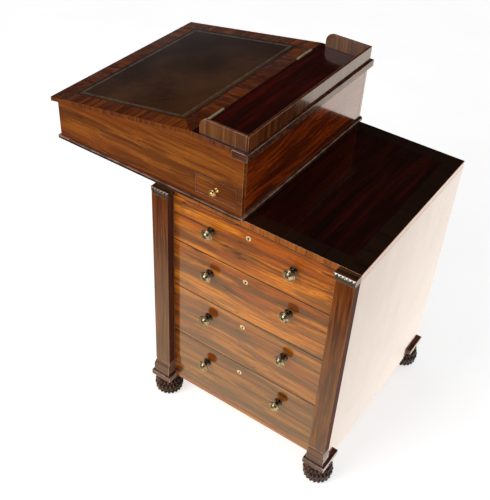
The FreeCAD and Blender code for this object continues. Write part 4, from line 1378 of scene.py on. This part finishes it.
@dataclass
class Chest(Assembly):
    """The chest: case, top, pilasters with carved capitals, plinths and bun feet."""

    body: str = "chest"
    shaft_rise: float = 8.5 * MM
    plinth_drop: float = 15.0 * MM
    plinth_plates: float = 85.0 * MM
    glide_radius: float = 7.0 * MM
    capital_depth: float = 60.0 * MM
    margin: float = 1.0 * MM
    inset: float = 0.2 * MM
    hair: float = 0.1 * MM

    def build(self) -> None:
        """Builds and dresses the chest."""
        self.board("chest_top_board", DARK_TOP, "base_top", Arris.WORN)
        for side in ("back", "knee", "left"):
            self.board(f"{side}_board", CASE, f"{side}_panel")
        self.board("bottom_rail_board", RAILS, "bottom_rail")
        self.board("drawer_stile_strips", RAILS, "drawer_stiles")
        self.pilasters()
        self.capitals()
        self.plinths()
        self.feet()
        self.keep(CARCASS, "bottom_board", "top_rail", "drawer_guides", "dust_boards", "slide_tongue")
        self.keep(OLD_BRASS, "foot_glides")

    def pilasters(self) -> None:
        """Makes the two shafts; the outer side of each meets the back or the left panel flush."""
        shafts = Bench.copy_of("pilaster_shafts", "pilasters")
        low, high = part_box("pilasters")
        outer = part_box("back_panel")[1].y - self.inset
        Bench.shift(shafts, lambda at: at.y > high.y - self.hair, (0.0, outer - high.y, 0.0))
        Bench.shift(shafts, lambda at: at.y < low.y + self.hair, (0.0, high.y - outer, 0.0))
        Bench.shift(shafts, lambda at: at.z > high.z - self.hair, (0.0, 0.0, self.shaft_rise))
        Bench.shift(shafts, lambda at: at.z < low.z + self.hair, (0.0, 0.0, -self.plinth_drop))
        Bench.soften(shafts, Arris.CRISP)
        self.fit(shafts, POSTS, "pilasters")

    def capitals(self) -> None:
        """Carves the two capitals."""
        low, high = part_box("capitals")
        shaft_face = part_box("pilasters")[1].x
        made = []
        for near, outward in ((low.y, -1.0), (high.y - self.capital_depth, 1.0)):
            far = near + self.capital_depth
            block = Bench.copy_of("capital_block", "capitals")
            Bench.keep_between(block, near - self.margin, far + self.margin)
            made.append(Capital((near + far) / 2.0, shaft_face, outward).build("capital", block))
        self.fit(Bench.joined("carved_capitals", made), CAPITAL, "capitals")

    def plinths(self) -> None:
        """Makes the plinths; the blocks on their plates end a little lower, under the longer shafts."""
        blocks = Bench.copy_of("plinth_blocks", "plinths")
        Bench.shift(blocks, lambda at: at.z > self.plinth_plates, (0.0, 0.0, -self.plinth_drop))
        Bench.soften(blocks, Arris.EASED)
        self.fit(blocks, PLINTH, "plinths")

    def feet(self) -> None:
        """Stands a carved foot under each corner."""
        pattern = BunFoot().build("foot_pattern")
        low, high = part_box("foot_glides")
        feet = [Bench.repeated(pattern, "foot", (x, y, 0.0))
                for x in (low.x + self.glide_radius, high.x - self.glide_radius)
                for y in (low.y + self.glide_radius, high.y - self.glide_radius)]
        Bench.discard(pattern)
        self.fit(Bench.joined("carved_bun_feet", feet), CARVING, "bun_feet")


@dataclass
class SlopeBox(Assembly):
    """The writing box that slides over the chest, with its mouldings and gallery."""

    body: str = "slope_box"

    def build(self) -> None:
        """Builds and dresses the writing box."""
        self.board("box_left_board", BOX_SIDE, "box_left_wall")
        self.board("box_right_board", BOX_SIDE, "box_right_wall")
        self.board("box_front_board", BOX_FRONT, "box_front_wall")
        self.board("box_rear_board", BOX_REAR, "box_back_wall")
        self.board("fixed_top_board", FIXED_TOP, "fixed_top", Arris.EASED)
        self.board("box_foot_moulding", MOULDING, "box_moulding", Arris.ROUND)
        self.board("ledge_strip", MOULDING, "ledge_moulding", Arris.ROUND)
        self.board("gallery_back_rail", GALLERY_RAIL, "gallery_rail", Arris.EASED)
        self.board("gallery_end_ears", GALLERY, "gallery_ears", Arris.EASED)
        self.keep(CARCASS, "box_floor", "box_guides", "pen_housing")
        self.keep(PALE_BRASS, "slope_lock", "hinge_fixed_leaves")
        self.keep(OLD_STEEL, "hinge_pins")


@dataclass
class PenDrawer(Assembly):
    """The small drawer in the side of the writing box."""

    body: str = "pen_drawer"

    def build(self) -> None:
        """Builds and dresses the pen drawer."""
        self.board("pen_drawer_face", PEN_FRONT, "pen_drawer_front", Arris.CRISP)
        self.keep(CARCASS, "pen_drawer_tray")
        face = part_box("box_right_wall")[1].x
        knob = PEN_KNOB.fitted("pen_drawer_turned_knob", "pen_drawer_knob", face, 1)
        self.fit(knob, BRIGHT_BRASS, "pen_drawer_knob")


@dataclass
class Lid(Assembly):
    """The sloping lid with its crossbanded border and hide skiver."""

    body: str = "lid"

    def build(self) -> None:
        """Builds and dresses the lid."""
        self.board("lid_banded_board", LID, "lid_board", Arris.WORN)
        self.keep(SKIVER, "lid_leather")
        self.keep(PALE_BRASS, "lid_catch", "hinge_lid_leaves")


@dataclass
class Drawer(Assembly):
    """One of the four side drawers."""

    front: Rosewood
    lock_depth: float = 4.2 * MM

    def build(self) -> None:
        """Builds and dresses the drawer."""
        body = self.body
        self.board(f"{body}_face", self.front, f"{body}_front", Arris.FRONT)
        self.keep(CARCASS, f"{body}_walls", f"{body}_bottom")
        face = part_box(f"{body}_front")[1].x
        knobs = DRAWER_KNOB.fitted(f"{body}_turned_knobs", f"{body}_knobs", face, 2)
        self.fit(knobs, OLD_BRASS, f"{body}_knobs")
        self.lock(face)

    def lock(self, face: float) -> None:
        """Turns the escutcheon; the lock behind keeps its shape.

        Args:
            face: where along X the drawer's front ends.
        """
        node = f"{self.body}_lock"
        case = Bench.copy_of("lock_case", node)
        rim = [vertex.co.copy() for vertex in case.data.vertices if vertex.co.x > face]
        spans = ([at[axis] for at in rim] for axis in (1, 2))
        place = (face, *((min(span) + max(span)) / 2.0 for span in spans))
        Bench.keep_behind(case, face - self.lock_depth)
        escutcheon = Escutcheon()
        pattern = escutcheon.bush()
        shown = Bench.repeated(pattern, "bush", place, FACING_X)
        Bench.discard(pattern)
        made = Bench.joined(f"{node}_and_bush", [shown, case])
        escutcheon.pierce(made, place)
        self.fit(made, KEY_BRASS, node)


# ---- The studio ----
@dataclass(frozen=True)
class PaleFloor(Finish):
    """A pale floor, with the light that polished sides mirror from it.

    Each reach holds two places between which a glow changes: along X in front of the drawers and at the
    writer's side, and along Y behind the desk.
    """

    light: Colour = (0.8, 0.8, 0.8)
    dark: Colour = (0.76, 0.76, 0.76)
    white: float = 0.66
    bounce: float = 0.45
    near_glow: float = 1.4
    front_glow: float = 0.1
    back_glow: float = 1.75
    writer_share: float = 0.16
    front_reach: tuple[float, float] = (0.50, 0.95)
    writer_reach: tuple[float, float] = (0.14, 0.29)
    back_reach: tuple[float, float] = (0.33, 0.41)
    near_tint: Colour = (1.0, 0.84, 0.56)
    back_tint: Colour = (1.0, 0.91, 0.82)

    def surface(self, sheet: Surface) -> Node:
        """Lays out the floor, lit more strongly behind the desk.

        Args:
            sheet: the material's sheet.

        Returns:
            The shader.
        """
        lies = sheet.parts(sheet.place)
        ray = sheet.node("LightPath").outputs
        mottle = sheet.ramp(sheet.noise(sheet.place, 3.0, 4.0), 0.3, 0.7)
        plain = sheet.node("BsdfPrincipled", {
            "Base Color": sheet.mix(mottle, self.dark, self.light),
            "Roughness": 0.9, "Specular IOR Level": 0.0, "Emission Color": (1.0, 1.0, 1.0),
            "Emission Strength": sheet.ramp(ray["Is Camera Ray"], 0.0, 1.0, self.bounce, self.white)})
        front = sheet.times(sheet.ramp(lies["X"], *self.front_reach, self.near_glow, self.front_glow),
                            sheet.ramp(lies["X"], *self.writer_reach, self.writer_share, 1.0))
        behind = sheet.ramp(lies["Y"], *self.back_reach)
        mirrored = sheet.node("Emission", {"Color": sheet.mix(behind, self.near_tint, self.back_tint),
                                           "Strength": sheet.blend(behind, front, self.back_glow)})
        return sheet.node("MixShader", {0: ray["Is Glossy Ray"], 1: plain.outputs[0],
                                        2: mirrored.outputs[0]})


@dataclass(frozen=True)
class Lamp:
    """A square soft light, with its place, what it is aimed at, its size and its power."""

    name: str
    place: Triple
    aim: Triple
    size: float
    power: float

    def hang(self) -> None:
        """Hangs the light and aims it."""
        bpy.ops.object.light_add(type="AREA", location=self.place)
        made = bpy.context.object
        made.name = self.name
        made.rotation_euler = (Vector(self.aim) - Vector(self.place)).to_track_quat("-Z", "Y").to_euler()
        made.data.size, made.data.energy = self.size, self.power


@dataclass
class Studio:
    """A pale floor, soft light and the camera."""

    camera_place: Triple = (1.36735, 0.8350, 1.71186)
    camera_turn: Triple = (0.8724, -0.0499, 2.175)
    lens: float = 59.44
    sensor: float = 36.0
    clip: tuple[float, float] = (0.05, 100.0)
    floor_size: float = 24.0
    floor_finish: PaleFloor = PaleFloor("pale_floor")
    lamps: tuple[Lamp, ...] = (Lamp("key_light", (2.3, -0.7, 1.9), (0.1, 0.1, 0.4), 1.5, 34.0),
                               Lamp("fill_light", (1.2, 2.6, 2.2), (0.0, 0.1, 0.5), 1.6, 10.0))
    ambient: float = 0.35
    backdrop: float = 0.97
    horizon: tuple[float, float] = (0.07, 0.24)
    sky_glow: tuple[float, float] = (0.9, 0.010)

    def build(self) -> None:
        """Builds the studio."""
        self.camera()
        self.floor()
        self.sky()
        for lamp in self.lamps:
            lamp.hang()

    def camera(self) -> None:
        """Places the camera."""
        bpy.ops.object.camera_add(location=self.camera_place, rotation=self.camera_turn)
        made = bpy.context.object
        made.name = "camera"
        made.data.lens, made.data.sensor_width, made.data.sensor_fit = self.lens, self.sensor, "HORIZONTAL"
        made.data.clip_start, made.data.clip_end = self.clip
        bpy.context.scene.camera = made
        bpy.context.scene.view_settings.view_transform = "Standard"

    def floor(self) -> None:
        """Lays the floor."""
        bpy.ops.object.select_all(action="DESELECT")
        bpy.ops.mesh.primitive_plane_add(size=self.floor_size, location=CENTRE)
        made = bpy.context.object
        made.name = "studio_floor"
        made.data.materials.append(self.floor_finish.material())

    def sky(self) -> None:
        """Lights the room: white near the horizon and dim overhead."""
        world = bpy.data.worlds.new("studio")
        world.use_nodes = True
        sheet = Sheet(world.node_tree)
        way = sheet.parts(sheet.node("TexCoord").outputs["Generated"])
        ray = sheet.node("LightPath").outputs
        mirrored = sheet.ramp(way["Z"], *self.horizon, *self.sky_glow)
        glow = sheet.blend(ray["Is Glossy Ray"], self.ambient, mirrored)
        glow = sheet.blend(ray["Is Camera Ray"], glow, self.backdrop)
        ground = sheet.node("Background", {"Color": (1.0, 1.0, 1.0), "Strength": glow})
        sheet.node("OutputWorld", {"Surface": ground.outputs[0]})
        bpy.context.scene.world = world


def main() -> None:
    """Builds the studio and the desk, in order."""
    logging.basicConfig(level=logging.INFO, format="%(name)s: %(message)s")
    Studio().build()
    Chest().build()
    SlopeBox().build()
    PenDrawer().build()
    Lid().build()
    for n, front in enumerate(DRAWER_FRONT):
        Drawer(f"drawer_{n + 1}", front).build()


if __name__ == "__main__":
    main()
